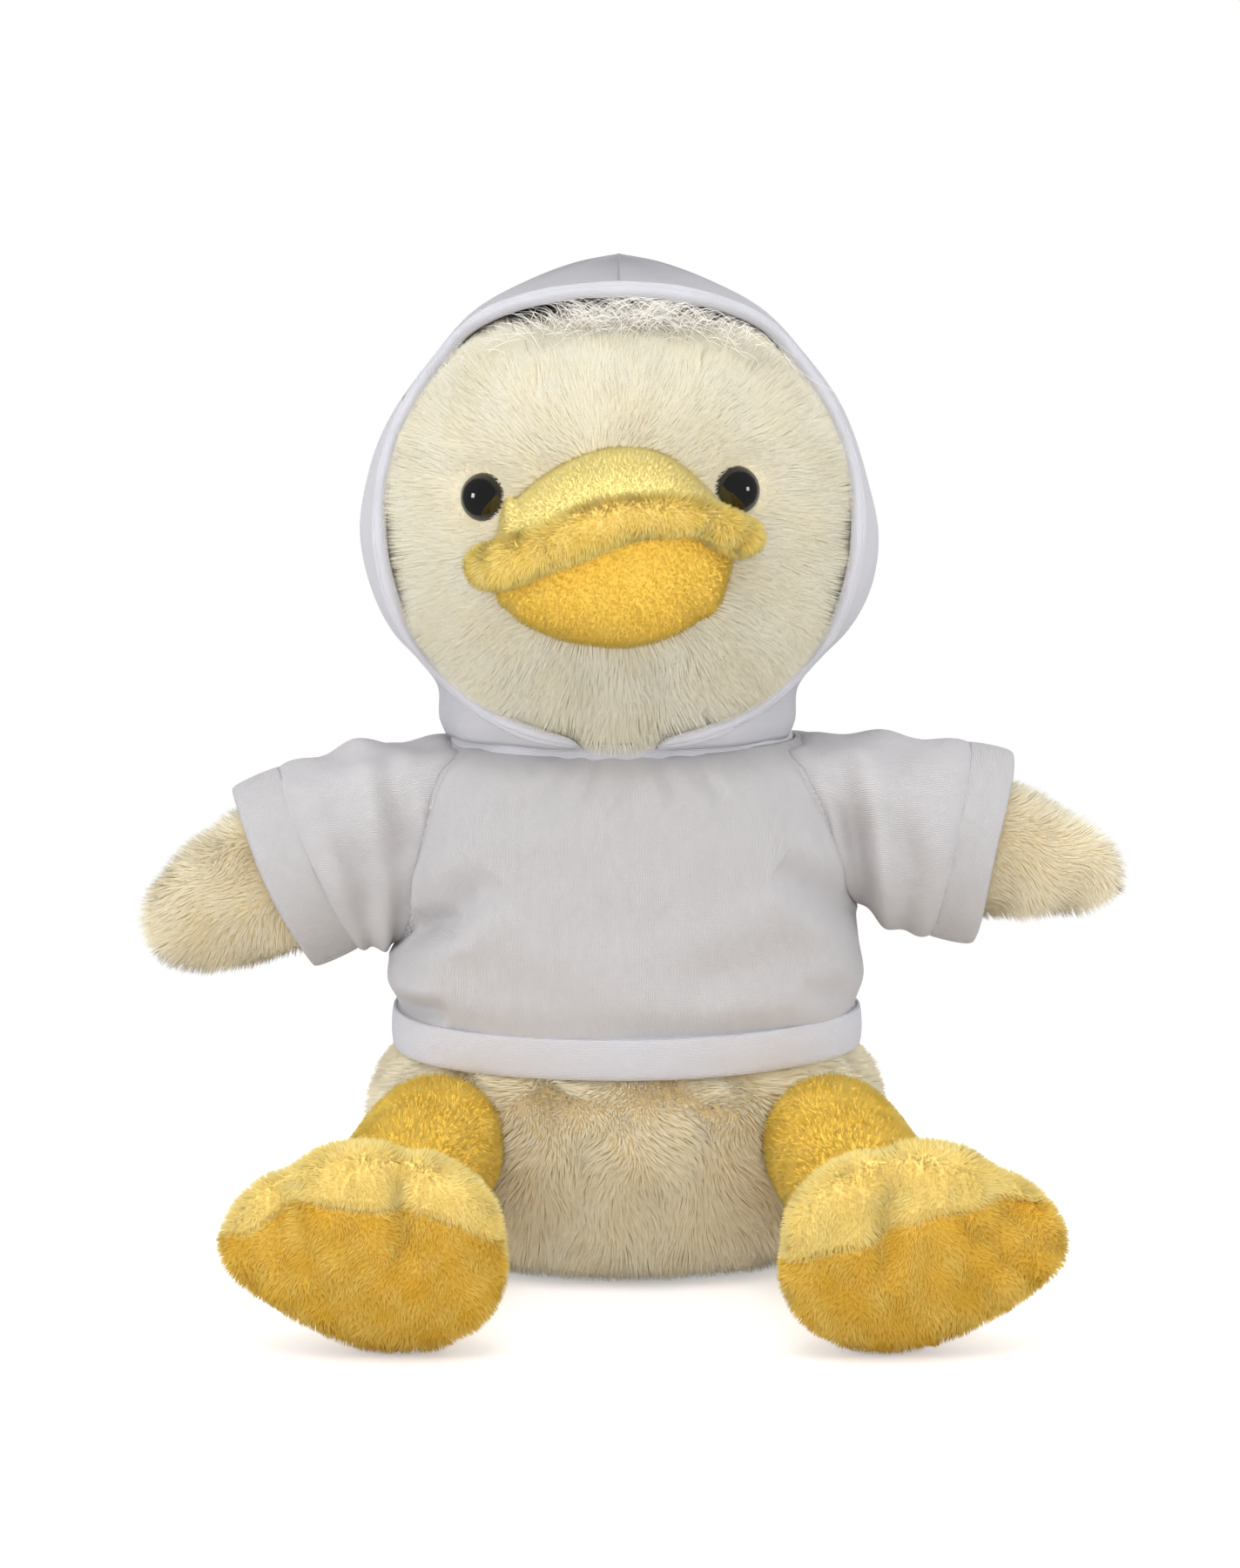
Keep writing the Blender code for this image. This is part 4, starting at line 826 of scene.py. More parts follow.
# The face's pile is a paler, less saturated copy of the body's cream: the paleness is painted light, matched
# to the lit forehead.
FACE_LIT_ROOT = (0.96, 0.86, 0.62)
FACE_LIT_TIP = (0.96, 0.895, 0.69)
FACE_LIT_PALE = (0.97, 0.93, 0.78)
lit_face_finish = pile_finish("face_pile", FACE_LIT_ROOT, FACE_LIT_TIP, FACE_LIT_PALE)
lit_face_backing = mottled("lit_face_backing", FACE_LIT_ROOT, BACKING_GRAIN, BACKING_DEPTH, 1.0)
HOOD_MIDDLE = Vector((-0.0016, -0.0015, 0))
HOOD_DEPTH_SHARE = 0.98
HOOD_PROFILE = (
    (0.0334, 0.1022), (0.0346, 0.1050), (0.0349, 0.1115), (0.0390, 0.1171), (0.0443, 0.1230),
    (0.0487, 0.1317), (0.0505, 0.1412), (0.0486, 0.1522), (0.0435, 0.1649), (0.0355, 0.1759),
    (0.0279, 0.1841), (0.0177, 0.1900), (0.0086, 0.1935), (0.0000, 0.1953))
HOOD_ROOM = 0.0016
HOOD_OPENING = (0.04625, 0.0412)
HOOD_OPENING_SWELL = 0.035
HOOD_OPENING_LEVEL = 0.1482
HOOD_OPENING_DROP = 0.0030
HOOD_OPENING_SHARE = 0.965
HOOD_OPENING_ROUNDING = 24
CHIN_DROP = 0.0030
CHIN_DROP_SPREAD = 0.0115
PILE_SHARE = 0.985
RIM_END = 0.16


def head_place(across, up):
    """The head's form, from the neck up to the crown."""
    turn = 2 * np.pi * across
    half, level = outline(HEAD_PROFILE, up).T
    deep = half * HEAD_DEPTH_SHARE
    own = as_points(half * np.sin(turn), -deep * np.cos(turn), level - HEAD_PLACE.z)
    return own + np.array(HEAD_PLACE)


head = dress(shaped("head", 84, 60, head_place, lit_face_backing), "head", "cream_pile", "head_skin")
filled("head", head_place, "head")


def eye_seat(side):
    """The eye's seat on the head, with z out of the face."""
    x, level = EYE_SPOTS[side]
    off = np.array((x - HEAD_PLACE.x, 0, level - HEAD_PLACE.z)) / HEAD_SOLID
    off[1] = -math.sqrt(1 - off[0] ** 2 - off[2] ** 2)
    at = Vector(off * HEAD_SOLID) + HEAD_PLACE
    out = Vector(off / HEAD_SOLID)
    return frame_along(at - out.normalized() * EYE_SINK, out, (1, 0, 0))


def hood_half(level):
    """Half the hood's width at a level."""
    return through([(z, half) for half, z in HOOD_PROFILE], level)


def opening_at(turn):
    """The hood's face opening in the front view: round, fuller below, and open between the rim's ends."""
    swell = 1 + HOOD_OPENING_SWELL * np.sin(2 * turn) ** 2
    below = HOOD_OPENING_DROP * (1 - np.exp(-(np.maximum(-np.cos(turn), 0) * 2.4) ** 2))
    below = below + CHIN_DROP * np.exp(-((1 + np.cos(turn)) / CHIN_DROP_SPREAD) ** 2)
    level = HOOD_OPENING_LEVEL + HOOD_OPENING[1] * np.cos(turn) * swell - below
    x = HOOD_OPENING[0] * np.sin(turn) * swell
    over = np.abs(x / (HOOD_OPENING_SHARE * hood_half(level))) ** HOOD_OPENING_ROUNDING
    x = x * (1 + over) ** (-1 / HOOD_OPENING_ROUNDING)
    return HOOD_MIDDLE.x + x, level


def in_opening(points):
    """How far out from the middle of the opening the points lie, 1 at its edge, and the edge there."""
    x, level = points[:, 0] - HOOD_MIDDLE.x, points[:, 2] - HOOD_OPENING_LEVEL
    turn = np.arctan2(x / HOOD_OPENING[0], level / HOOD_OPENING[1])
    edge_x, edge_level = opening_at(turn)
    reach = np.hypot(edge_x - HOOD_MIDDLE.x, edge_level - HOOD_OPENING_LEVEL)
    return np.hypot(x, level) / reach, edge_x, edge_level


def drawn_in(points, share):
    """Draws points in the front view into a share of the hood's opening."""
    far = in_opening(points)[0]
    out = (points - np.array((HOOD_MIDDLE.x, 0, HOOD_OPENING_LEVEL))) * np.array((1, 0, 1.0))
    return points - out * np.maximum(far - share, 0)[:, None] / np.maximum(far, 0.01)[:, None]


def held_in(points):
    """Keeps fibres inside the hood and its edge under the chin, and off the eyes."""
    off = points - np.array(HOOD_MIDDLE)
    room = np.maximum(hood_half(points[:, 2]) - HOOD_ROOM, 0.001)
    out = np.hypot(off[:, 0] / room, off[:, 1] / (room * HOOD_DEPTH_SHARE))
    back = (points[:, 1] > -0.020) & (out > 1)
    points = points - off * (np.where(back, 1 - 1 / np.maximum(out, 0.1), 0)[:, None] * np.array((1, 1, 0)))
    points = drawn_in(points, PILE_SHARE)
    for side in EYE_SPOTS:
        seat = eye_seat(side)
        own = own_axes(points, seat)
        reach = np.hypot(own[:, 0], own[:, 1])
        near = (reach < EYE_NEAR) & (own[:, 2] > -0.001)
        own[near, :2] *= (EYE_CLEAR / np.maximum(reach[near], 0.0005))[:, None]
        points = np.where(near[:, None], moved(own, seat), points)
    return points


# Lines of the front view where the beak meets the face: the mouth, the beak's top and its bottom.
MOUTH_LINE = (
    (-0.0290, 0.1378), (-0.0216, 0.1414), (-0.0125, 0.1460), (-0.0043, 0.1496), (0.0051, 0.1511),
    (0.0140, 0.1496), (0.0201, 0.1456), (0.0248, 0.1428))
BEAK_TOP_LINE = (
    (-0.0245, 0.1395), (-0.0236, 0.1470), (-0.0200, 0.1520), (-0.0163, 0.1552), (-0.0080, 0.1598),
    (0.0005, 0.1612), (0.0080, 0.1592), (0.0120, 0.1560), (0.0165, 0.1513), (0.0196, 0.1480),
    (0.0207, 0.1450))
BEAK_BOTTOM_LINE = (
    (-0.0250, 0.1395), (-0.0243, 0.1345), (-0.0218, 0.1305), (-0.0152, 0.1262), (-0.0067, 0.1240),
    (-0.0019, 0.1236), (0.0053, 0.1246), (0.0124, 0.1281), (0.0179, 0.1336), (0.0207, 0.1450))
BEAK_ROOT = -0.036
BEAK_PILE_GAP = 0.0006
BEAK_PILE_LEFT_END = 0.0205
CHIN_LEVEL = 0.126
roots, outs = scattered(head, FACE_PILE_SPACING, 91)
far = in_opening(roots)[0]
kept = (roots[:, 1] < FACE_PILE_BACK) & (far < np.where(roots[:, 2] < CHIN_LEVEL, 0.99, 1.12))
for side in EYE_SPOTS:
    own = own_axes(roots, eye_seat(side))
    kept &= ~((np.hypot(own[:, 0], own[:, 1]) < EYE_RADIUS - EYE_PILE_LAP) & (roots[:, 1] < 0))
between = (roots[:, 2] < through(BEAK_TOP_LINE, roots[:, 0]) - BEAK_PILE_GAP) & (
    roots[:, 2] > through(BEAK_BOTTOM_LINE, roots[:, 0]) + BEAK_PILE_GAP)
between &= (roots[:, 0] > BEAK_TOP_LINE[0][0]) & (roots[:, 0] < BEAK_PILE_LEFT_END) & (roots[:, 1] < -0.01)
kept &= ~between
roots, outs = roots[kept], outs[kept]
way = (roots - np.array(FACE_PARTING)) * np.array((1, 0.3, 1)) + np.array((0, 0, -0.002))
shorter = np.ones(len(roots))
for x, level in EYE_SPOTS.values():
    off = np.hypot(roots[:, 0] - x, roots[:, 2] - level)
    shorter = np.minimum(shorter, np.clip((off - 0.0030) / 0.0055, 0.30, 1))
fuller = np.clip((far[kept] - 0.72) / 0.25, 0, 1) * np.clip((0.187 - roots[:, 2]) / 0.008, 0, 1)
fuller *= 0.5 + 0.6 * np.clip((roots[:, 2] - 0.155) / 0.012, 0, 1)
lengths = FACE_PILE_LENGTH * (1 + fuller) * shorter
thirds = np.digitize(roots[:, 0] - HEAD_PLACE.x, (-FACE_THIRD, FACE_THIRD))
# The face wears the paler copy of the cream, as painted light.
for part, third in (("right", 0), ("middle", 1), ("left", 2)):
    chosen = thirds == third
    long_pile(f"face_pile_{part}", roots[chosen], outs[chosen], way[chosen], "head", 92 + 4 * third,
              length=lengths[chosen], lean=0.22, swirl=0.16, clump=0.14, limit=held_in,
              width=FACE_PILE_WIDTH, finish=lit_face_finish)

# Eyes: black safety eyes, glossy moulded domes with a flat back, pressed into the pile. Each is held
# by a shank in its washer behind the skin, which is hidden, so only the domes are laid here.
EYE_DOME = 0.0036
EYE_BACK = 0.0006
EYE_CHAMFER = 0.0004
EYE_BLACK = (0.002, 0.002, 0.002)
eye_gloss, tree, shader = new_material(
    "eye_gloss", 0.06, Base_Color=(*EYE_BLACK, 1), Specular_IOR_Level=0.8)
place = new_node(tree, "TexCoord")
scuff = new_node(tree, "TexNoise", Scale=900)
spread = new_node(tree, "MapRange", To_Min=0.04, To_Max=0.10)
wire(tree, (place.outputs["Object"], scuff.inputs["Vector"]), (scuff.outputs["Fac"], spread.inputs["Value"]),
     (spread.outputs["Result"], shader.inputs["Roughness"]))
for side in EYE_SPOTS:
    bm = bmesh.new()
    arc = [bm.verts.new((EYE_RADIUS * math.cos(t), 0, EYE_DOME * math.sin(t)))
           for t in (math.pi / 2 * k / 14 for k in range(15))]
    rim = bm.verts.new((EYE_RADIUS - EYE_CHAMFER, 0, -EYE_BACK))
    back = bm.verts.new((0, 0, -EYE_BACK))
    line = [back, rim, *arc]
    edges = [bm.edges.new(pair) for pair in zip(line, line[1:])]
    bmesh.ops.spin(bm, geom=line + edges, cent=(0, 0, 0), axis=(0, 0, 1), angle=2 * math.pi, steps=48,
                   use_merge=True)
    bmesh.ops.remove_doubles(bm, verts=bm.verts, dist=MERGE_GAP / 2)
    bmesh.ops.recalc_face_normals(bm, faces=bm.faces)
    bmesh.ops.transform(bm, matrix=eye_seat(side), verts=bm.verts)
    dress(finished(f"{side}_eye_dome", bm, eye_gloss), "head", "eye_plastic", f"{side}_eye")

# Beak: two stuffed cups of yellow short pile with a rolled lip of a shaggier cut sewn round the
# mouth. The mouth's line arches, and hangs lower at the duck's right.
UPPER_REACH = 0.0350
LOWER_REACH = 0.0280
BEAK_CLOSING_SHARE = 0.75
BEAK_PILE_SPACING = 0.00036
BEAK_PILE_WIDTH = 0.00020
BEAK_PILE_LENGTHS = {"beak_top": 0.0008, "beak_bottom": 0.0010}
BEAK_PILE_BACK = 0.006
LIP_MIDDLE = -0.0022
LIP_HALF_WIDTH = 0.0246
LIP_REACH = 0.0352
LIP_TURN = math.radians(86)
LIP_HEIGHTS = (
    (-1.0, 0.0030), (-0.7, 0.0036), (-0.4, 0.0040), (0.0, 0.0034), (0.4, 0.0029), (0.7, 0.0027),
    (1.0, 0.0031))
LIP_DEPTH = 0.0036
LIP_PILE_LENGTH = 0.0021
LIP_ROOT = (0.94, 0.575, 0.082)
LIP_TIP = (0.97, 0.725, 0.170)
LIP_PALE = (0.985, 0.81, 0.300)
# A paler copy of the yellow pile for the upper beak: the paleness is painted light, where the light from
# above and in front falls on its top.
LIT_YELLOW_ROOT = (0.97, 0.70, 0.17)
LIT_YELLOW_TIP = (0.99, 0.82, 0.29)
LIT_YELLOW_PALE = (0.99, 0.87, 0.40)
lip_pile = pile_finish("lip_pile", LIP_ROOT, LIP_TIP, LIP_PALE)
lit_beak_pile = pile_finish("lit_beak_pile", LIT_YELLOW_ROOT, LIT_YELLOW_TIP, LIT_YELLOW_PALE)
lit_beak_backing = mottled("lit_beak_backing", LIT_YELLOW_TIP, BACKING_GRAIN, SHORT_BACKING_DEPTH, 1.0)


def beak_cup(line, reach):
    """Half an egg between the mouth's line and an outline of the front view, closed at the mouth."""
    low, high = line[0][0], line[-1][0]
    middle, half = (low + high) / 2, (high - low) / 2

    def place(across, up):
        turn = 2 * np.pi * across
        open_part = up < BEAK_CLOSING_SHARE
        tilt = np.clip(up / BEAK_CLOSING_SHARE, 0, 1) * np.pi / 2
        out = np.where(open_part, np.sin(tilt), (1 - up) / (1 - BEAK_CLOSING_SHARE))
        x = middle + half * out * np.sin(turn)
        width = np.sqrt(np.maximum(1 - ((x - middle) / half) ** 2, 1e-6))
        share = np.clip(np.abs(out * np.cos(turn)) / width, 0, 1)
        mouth = through(MOUTH_LINE, x)
        rise = (through(line, x) - mouth) * np.where(open_part, (1 - share ** 2) ** 0.5, 0)
        return as_points(x, BEAK_ROOT - reach * out * np.cos(turn), mouth + rise)
    return place


def lip_place(across, up):
    """The lip's roll along the mouth's line, round the beak."""
    share = 2 * across - 1
    turn = LIP_TURN * share
    x, y = LIP_MIDDLE + LIP_HALF_WIDTH * np.sin(turn), BEAK_ROOT - LIP_REACH * np.cos(turn)
    full = np.sqrt(np.clip(1 - np.abs(share) ** 10, 0, 1))
    section = 2 * np.pi * up
    wave = 1 + 0.08 * np.sin(across * 17) + 0.05 * np.sin(across * 31 + 1)
    high = through(LIP_HEIGHTS, share) * full * wave * np.sin(section)
    deep = LIP_DEPTH * full * wave * np.cos(section)
    level = through(MOUTH_LINE, x) + high
    return as_points(x + np.sin(turn) * deep, y - np.cos(turn) * deep, level)


def before_root(at):
    """Tells which places of the beak lie outside the face."""
    return at[:, 1] < BEAK_ROOT + BEAK_PILE_BACK


def down_front(at):
    """Down and forward, as the lip's pile hangs."""
    return np.broadcast_to(np.array((0, -0.35, -0.9)), at.shape)


def forward(at):
    """Towards the beak's tip, as its short pile lies."""
    return np.broadcast_to(np.array((0, -1, -0.15)), at.shape)


# The upper cup wears the paler copy of the yellow pile, as painted light, and the lower cup the deeper copy,
# as painted shade.
for name, node, line, reach, finish, backing, seed in (
        ("beak_top", "upper_beak", BEAK_TOP_LINE, UPPER_REACH, lit_beak_pile, lit_beak_backing, 101),
        ("beak_bottom", "lower_beak", BEAK_BOTTOM_LINE, LOWER_REACH, shaded_yellow_pile, shaded_yellow_backing, 111)):
    skin = dress(shaped(name, 60, 48, beak_cup(line, reach), backing), "head", "yellow_pile", node)
    short_pile(f"{name}_pile", skin, forward, "head", "yellow_pile", seed, finish, keep=before_root,
               length=BEAK_PILE_LENGTHS[name], spacing=BEAK_PILE_SPACING, width=BEAK_PILE_WIDTH,
               swirl=0.3, clump=0.1, softness=0.80)
lip = dress(shaped("lip_roll", 96, 26, lip_place, yellow_backing), "head", "yellow_pile", "beak_lip")
short_pile("lip_pile", lip, down_front, "head", "yellow_pile", 121, lip_pile, length=LIP_PILE_LENGTH,
           spacing=BEAK_PILE_SPACING, swirl=0.5, clump=0.45)

# Tuft: a few pinches of longer, finer fibres in the pile of the crown, just under the hood's rim,
# which messes them sideways.
TUFT_MIDDLE = Vector((0.0010, -0.0185, 0.1826))
TUFT_SPREAD = (0.0125, 0.0034, 0.0018)
TUFT_COUNT = 1100
TUFT_RISE = 0.0006
TUFT_ROUNDING = 9.0
TUFT_SHARE = 0.975
TUFT_LENGTHS = (0.005, 0.0120)
TUFT_FIBRE_WIDTH = 0.00011
TUFT_SINK = 0.002
TUFT_ROOT = (0.80, 0.73, 0.60)
TUFT_TIP = (0.91, 0.88, 0.81)
TUFT_PALE = (0.95, 0.93, 0.89)
tuft_hair = pile_finish("tuft_hair", TUFT_ROOT, TUFT_TIP, TUFT_PALE)
chance = np.random.default_rng(131)
roots = np.array(TUFT_MIDDLE) + as_points(
    chance.normal(0, TUFT_SPREAD[0], TUFT_COUNT), chance.normal(0, TUFT_SPREAD[1], TUFT_COUNT),
    chance.normal(TUFT_RISE, TUFT_SPREAD[2], TUFT_COUNT))
roots[:, 2] -= TUFT_ROUNDING * (roots[:, 0] - TUFT_MIDDLE.x) ** 2
outs = unit(np.broadcast_to(np.array((0, -0.75, 0.65)), roots.shape))
ways = as_points(
    chance.choice((-1, 1), TUFT_COUNT) * chance.uniform(0.4, 2.4, TUFT_COUNT),
    chance.normal(-0.1, 0.5, TUFT_COUNT), chance.normal(0.0, 0.5, TUFT_COUNT))


def under_rim(points):
    """Keeps the tuft's fibres behind the hood's edge and under its crown."""
    return drawn_in(points, TUFT_SHARE)


tuft = grow_pile("tuft_hairs", roots, outs, ways, chance.uniform(*TUFT_LENGTHS, TUFT_COUNT),
                 TUFT_FIBRE_WIDTH, tuft_hair, 132, 0.25, 0.5, rings=3, sink=TUFT_SINK, limit=under_rim)
dress(tuft, "head", "cream_pile", "hair_tuft")

# Jersey: white cotton knit. A front and a back, open at the raglan seams where the sleeves are set
# in, gathered a little under the neck seam, and finished with a doubled hem band.
KNIT_COLOUR = (0.595, 0.580, 0.595)
# The hood's knit is a lighter copy of the jersey's knit: the lift is painted light, for the hood's top lit
# from above.
LIT_HOOD_COLOUR = (0.670, 0.663, 0.703)
BAND_COLOUR = (0.67, 0.665, 0.715)
KNIT_SHADE_SHARE = 0.68
BAND_SHADE_SHARE = 0.80
KNIT_DEPTH = 0.00016
WALE = 0.00057
COURSE = 0.00046
KNIT_WALL = 0.0008
JERSEY_DEPTH_SHARE = 0.905
JERSEY_RADIUS = 0.0440
JERSEY_LENGTH = 0.0630
JERSEY_WAVE = 0.0005
JERSEY_WAVE_SIZE = 0.030
SEAM_DIP = 0.0009
SEAM_PUFF = 0.0004
JERSEY_PROFILE = (
    (0.0444, 0.0425), (0.0446, 0.0488), (0.0464, 0.0545), (0.0455, 0.0620), (0.0446, 0.0700),
    (0.0442, 0.0800), (0.0436, 0.0880), (0.0424, 0.0940), (0.0400, 0.0978), (0.0362, 0.1002),
    (0.0334, 0.1016))
NECK_TILT = 0.0010
ROOT_RINGS = {
    "right": (0.0820, (
        (0, 0.0203), (24, 0.0197), (58, 0.0171), (90, 0.0168), (118, 0.0210), (134, 0.0237), (157, 0.0204),
        (180, 0.0190))),
    "left": (0.0845, (
        (0, 0.0145), (38, 0.0146), (70, 0.0160), (101, 0.0183), (117, 0.0230), (129, 0.0232), (154, 0.0182),
        (180, 0.0165)))}


def knit_group():
    """Plain knit stitches from a piece's weave map in metres: their height from 0 to 1."""
    made = bpy.data.node_groups.new("knit_stitches", "ShaderNodeTree")
    made.interface.new_socket("Height", in_out="OUTPUT", socket_type="NodeSocketFloat")

    def math_node(operation, *values):
        node = new_node(made, "Math")
        node.operation = operation
        for socket, value in zip(node.inputs, values):
            if isinstance(value, (int, float)):
                socket.default_value = value
            else:
                wire(made, (value, socket))
        return node.outputs[0]

    place = new_node(made, "UVMap")
    place.uv_map = "weave"
    wobble, fuzz = new_node(made, "TexNoise", Scale=420), new_node(made, "TexNoise", Scale=3800)
    parts = new_node(made, "SeparateXYZ")
    wire(made, (place.outputs["UV"], wobble.inputs["Vector"]), (place.outputs["UV"], fuzz.inputs["Vector"]),
         (place.outputs["UV"], parts.inputs[0]))
    shift = math_node("MULTIPLY", math_node("SUBTRACT", wobble.outputs["Fac"], 0.5), 0.9)
    wales = math_node("ADD", math_node("DIVIDE", parts.outputs["X"], WALE), shift)
    courses = math_node("DIVIDE", parts.outputs["Y"], COURSE)
    middle = math_node("ABSOLUTE", math_node("SUBTRACT", math_node("FRACT", wales), 0.5))
    legs = math_node("POWER", math_node("SINE", math_node("MULTIPLY", middle, 2 * math.pi)), 0.7)
    slant = math_node("ADD", courses, math_node("MULTIPLY", middle, 2.2))
    loops = math_node("SINE", math_node("MULTIPLY", slant, 2 * math.pi))
    stitch = math_node("MULTIPLY", legs, math_node("MULTIPLY_ADD", loops, 0.20, 0.74))
    wire(made, (math_node("MULTIPLY_ADD", fuzz.outputs["Fac"], 0.22, stitch),
                made.nodes.new("NodeGroupOutput").inputs["Height"]))
    return made


knit_stitches = knit_group()


def knit_finish(name, colour, shade):
    """The finish of a knit: each stitch stands a little proud, and its colour is darker where it dips, as
    painted shade in its hollows.
    """
    made, tree, shader = new_material(
        name, 0.9, Sheen_Weight=0.12, Sheen_Roughness=0.5, Specular_IOR_Level=0.2)
    stitch = new_node(tree, "Group")
    stitch.node_tree = knit_stitches
    place, cloud = new_node(tree, "TexCoord"), new_node(tree, "TexNoise", Scale=160)
    both = new_node(tree, "Math")
    both.operation = "MULTIPLY_ADD"
    both.inputs[1].default_value = 0.25
    tint = new_node(tree, "ValToRGB")
    tint.color_ramp.elements[0].position = 0.15
    tint.color_ramp.elements[0].color = (*[part * shade for part in colour], 1)
    tint.color_ramp.elements[1].color = (*colour, 1)
    bump = new_node(tree, "Bump", Distance=KNIT_DEPTH)
    wire(tree, (place.outputs["Object"], cloud.inputs["Vector"]), (cloud.outputs["Fac"], both.inputs[0]),
         (stitch.outputs["Height"], both.inputs[2]), (both.outputs[0], tint.inputs["Fac"]),
         (tint.outputs["Color"], shader.inputs["Base Color"]),
         (stitch.outputs["Height"], bump.inputs["Height"]),
         (bump.outputs["Normal"], shader.inputs["Normal"]))
    return made


white_knit = knit_finish("white_knit", KNIT_COLOUR, KNIT_SHADE_SHARE)
band_knit = knit_finish("band_knit", BAND_COLOUR, BAND_SHADE_SHARE)
lit_hood_knit = knit_finish("lit_hood_knit", LIT_HOOD_COLOUR, KNIT_SHADE_SHARE)


def creased(points, outs, lines):
    """Pushes points in along creases, each from one place of the front view to another."""
    facing = np.clip(-outs[:, 1] * 2.5, 0, 1)
    for (x0, z0), (x1, z1), width, depth in lines:
        start, run = np.array((x0, z0)), np.array((x1 - x0, z1 - z0))
        off = points[:, [0, 2]] - start
        share = np.clip(off @ run / (run @ run), 0, 1)
        gap = np.linalg.norm(off - share[:, None] * run, axis=1) / width
        fade = np.sin(np.pi * np.clip(share * 0.94 + 0.06, 0, 1)) ** 0.6
        dip = np.exp(-gap ** 2) - 0.55 * np.exp(-(gap - 1.9) ** 2)
        points = points - outs * (depth * dip * facing * fade)[:, None]
    return points


def ring_reach(side, turn):
    """How far the raglan ring lies from its middle in the side view; turn 0 is straight down."""
    stops = [(math.radians(angle), reach) for angle, reach in ROOT_RINGS[side][1]]
    return through(stops, np.abs(turn))


def jersey_half(level):
    """Half the jersey's width at a level."""
    return through([(z, half) for half, z in JERSEY_PROFILE], level)


def jersey_side(y, level, sign):
    """How far to the side the jersey reaches at places of the side view."""
    half = jersey_half(level)
    return sign * half * np.sqrt(np.maximum(1 - (y / (half * JERSEY_DEPTH_SHARE)) ** 2, 0.02))


def armholes(points):
    """How far out from each raglan ring the points lie, and the points of the rings next to them."""
    far, near = np.full(len(points), 9.0), points.copy()
    for side, sign in SIDES:
        level = ROOT_RINGS[side][0]
        off = points[:, 1:] - np.array((0, level))
        turn = np.arctan2(-off[:, 0], -off[:, 1])
        share = np.hypot(off[:, 0], off[:, 1]) / ring_reach(side, turn)
        here = points[:, 0] * sign > 0.015
        ring = off / np.maximum(share, 0.01)[:, None] + np.array((0, level))
        far = np.where(here, share, far)
        x = jersey_side(ring[:, 0], ring[:, 1], sign)
        near = np.where(here[:, None], np.column_stack([x, ring]), near)
    return far, near


JERSEY_CREASES = (
    ((-0.0432, 0.0625), (-0.0258, 0.0789), 0.0036, 0.0026),
    ((-0.0440, 0.0640), (-0.0317, 0.0700), 0.0022, 0.0014),
    ((0.0430, 0.0690), (0.0290, 0.0809), 0.0032, 0.0022),
    ((-0.0450, 0.0500), (-0.0340, 0.0520), 0.0020, 0.0016),
    ((0.0440, 0.0530), (0.0330, 0.0560), 0.0026, 0.0010),
    ((-0.0110, 0.1012), (-0.0165, 0.0930), 0.0013, 0.0007),
    ((-0.0060, 0.1015), (-0.0090, 0.0925), 0.0013, 0.0008),
    ((0.0000, 0.1018), (0.0000, 0.0930), 0.0013, 0.0007),
    ((0.0060, 0.1015), (0.0090, 0.0925), 0.0013, 0.0008),
    ((0.0125, 0.1010), (0.0190, 0.0920), 0.0014, 0.0008),
    ((-0.0270, 0.0570), (0.0020, 0.0530), 0.0045, 0.0008),
    ((0.0080, 0.0570), (0.0330, 0.0640), 0.0045, 0.0008),
    ((-0.0240, 0.0905), (-0.0080, 0.0945), 0.0030, 0.0008))
SLEEVE_CREASES = {
    "right": (
        ((-0.0470, 0.1000), (-0.0415, 0.0800), 0.0022, 0.0014),
        ((-0.0560, 0.0870), (-0.0480, 0.0690), 0.0024, 0.0009)),
    "left": (
        ((0.0415, 0.0960), (0.0462, 0.0700), 0.0021, 0.0018),
        ((0.0500, 0.0980), (0.0555, 0.0760), 0.0024, 0.0009))}


def jersey_place(low, high):
    """Points of the jersey between two turns of its girth, 0 at the front."""
    def place(across, up):
        turn = low + (high - low) * across
        half, level = outline(JERSEY_PROFILE, up).T
        level = level + NECK_TILT * np.cos(turn) * up ** 6
        outs = as_points(np.sin(turn), -np.cos(turn), np.zeros_like(turn))
        at = as_points(half * np.sin(turn), -half * JERSEY_DEPTH_SHARE * np.cos(turn), level)
        far, _ = armholes(at)
        near = np.abs(far - 1)
        dip = SEAM_DIP * np.exp(-(near / 0.055) ** 2) - SEAM_PUFF * np.exp(-((near - 0.14) / 0.06) ** 2)
        at -= outs * dip[:, None]
        loose = np.clip(1.2 - up, 0, 1) * np.clip(up * 6 - 0.4, 0, 1)
        at += outs * (JERSEY_WAVE * ripple(at, JERSEY_WAVE_SIZE, 141) * loose)[:, None]
        return creased(at, outs, JERSEY_CREASES)
    return place


def jersey_weave(low, high):
    """Where the knit's wales and courses run on a panel, in metres."""
    def weave(across, up):
        return (low + (high - low) * across) * JERSEY_RADIUS, up * JERSEY_LENGTH
    return weave


for part, middle in (("front", 0), ("back", math.pi)):
    low, high = middle - math.pi / 2, middle + math.pi / 2
    panel = shaped(f"jersey_{part}", 190, 110, jersey_place(low, high), white_knit,
                   weave=jersey_weave(low, high), hole=armholes, wall=KNIT_WALL)
    dress(panel, "torso", "white_knit", f"shirt_{part}")

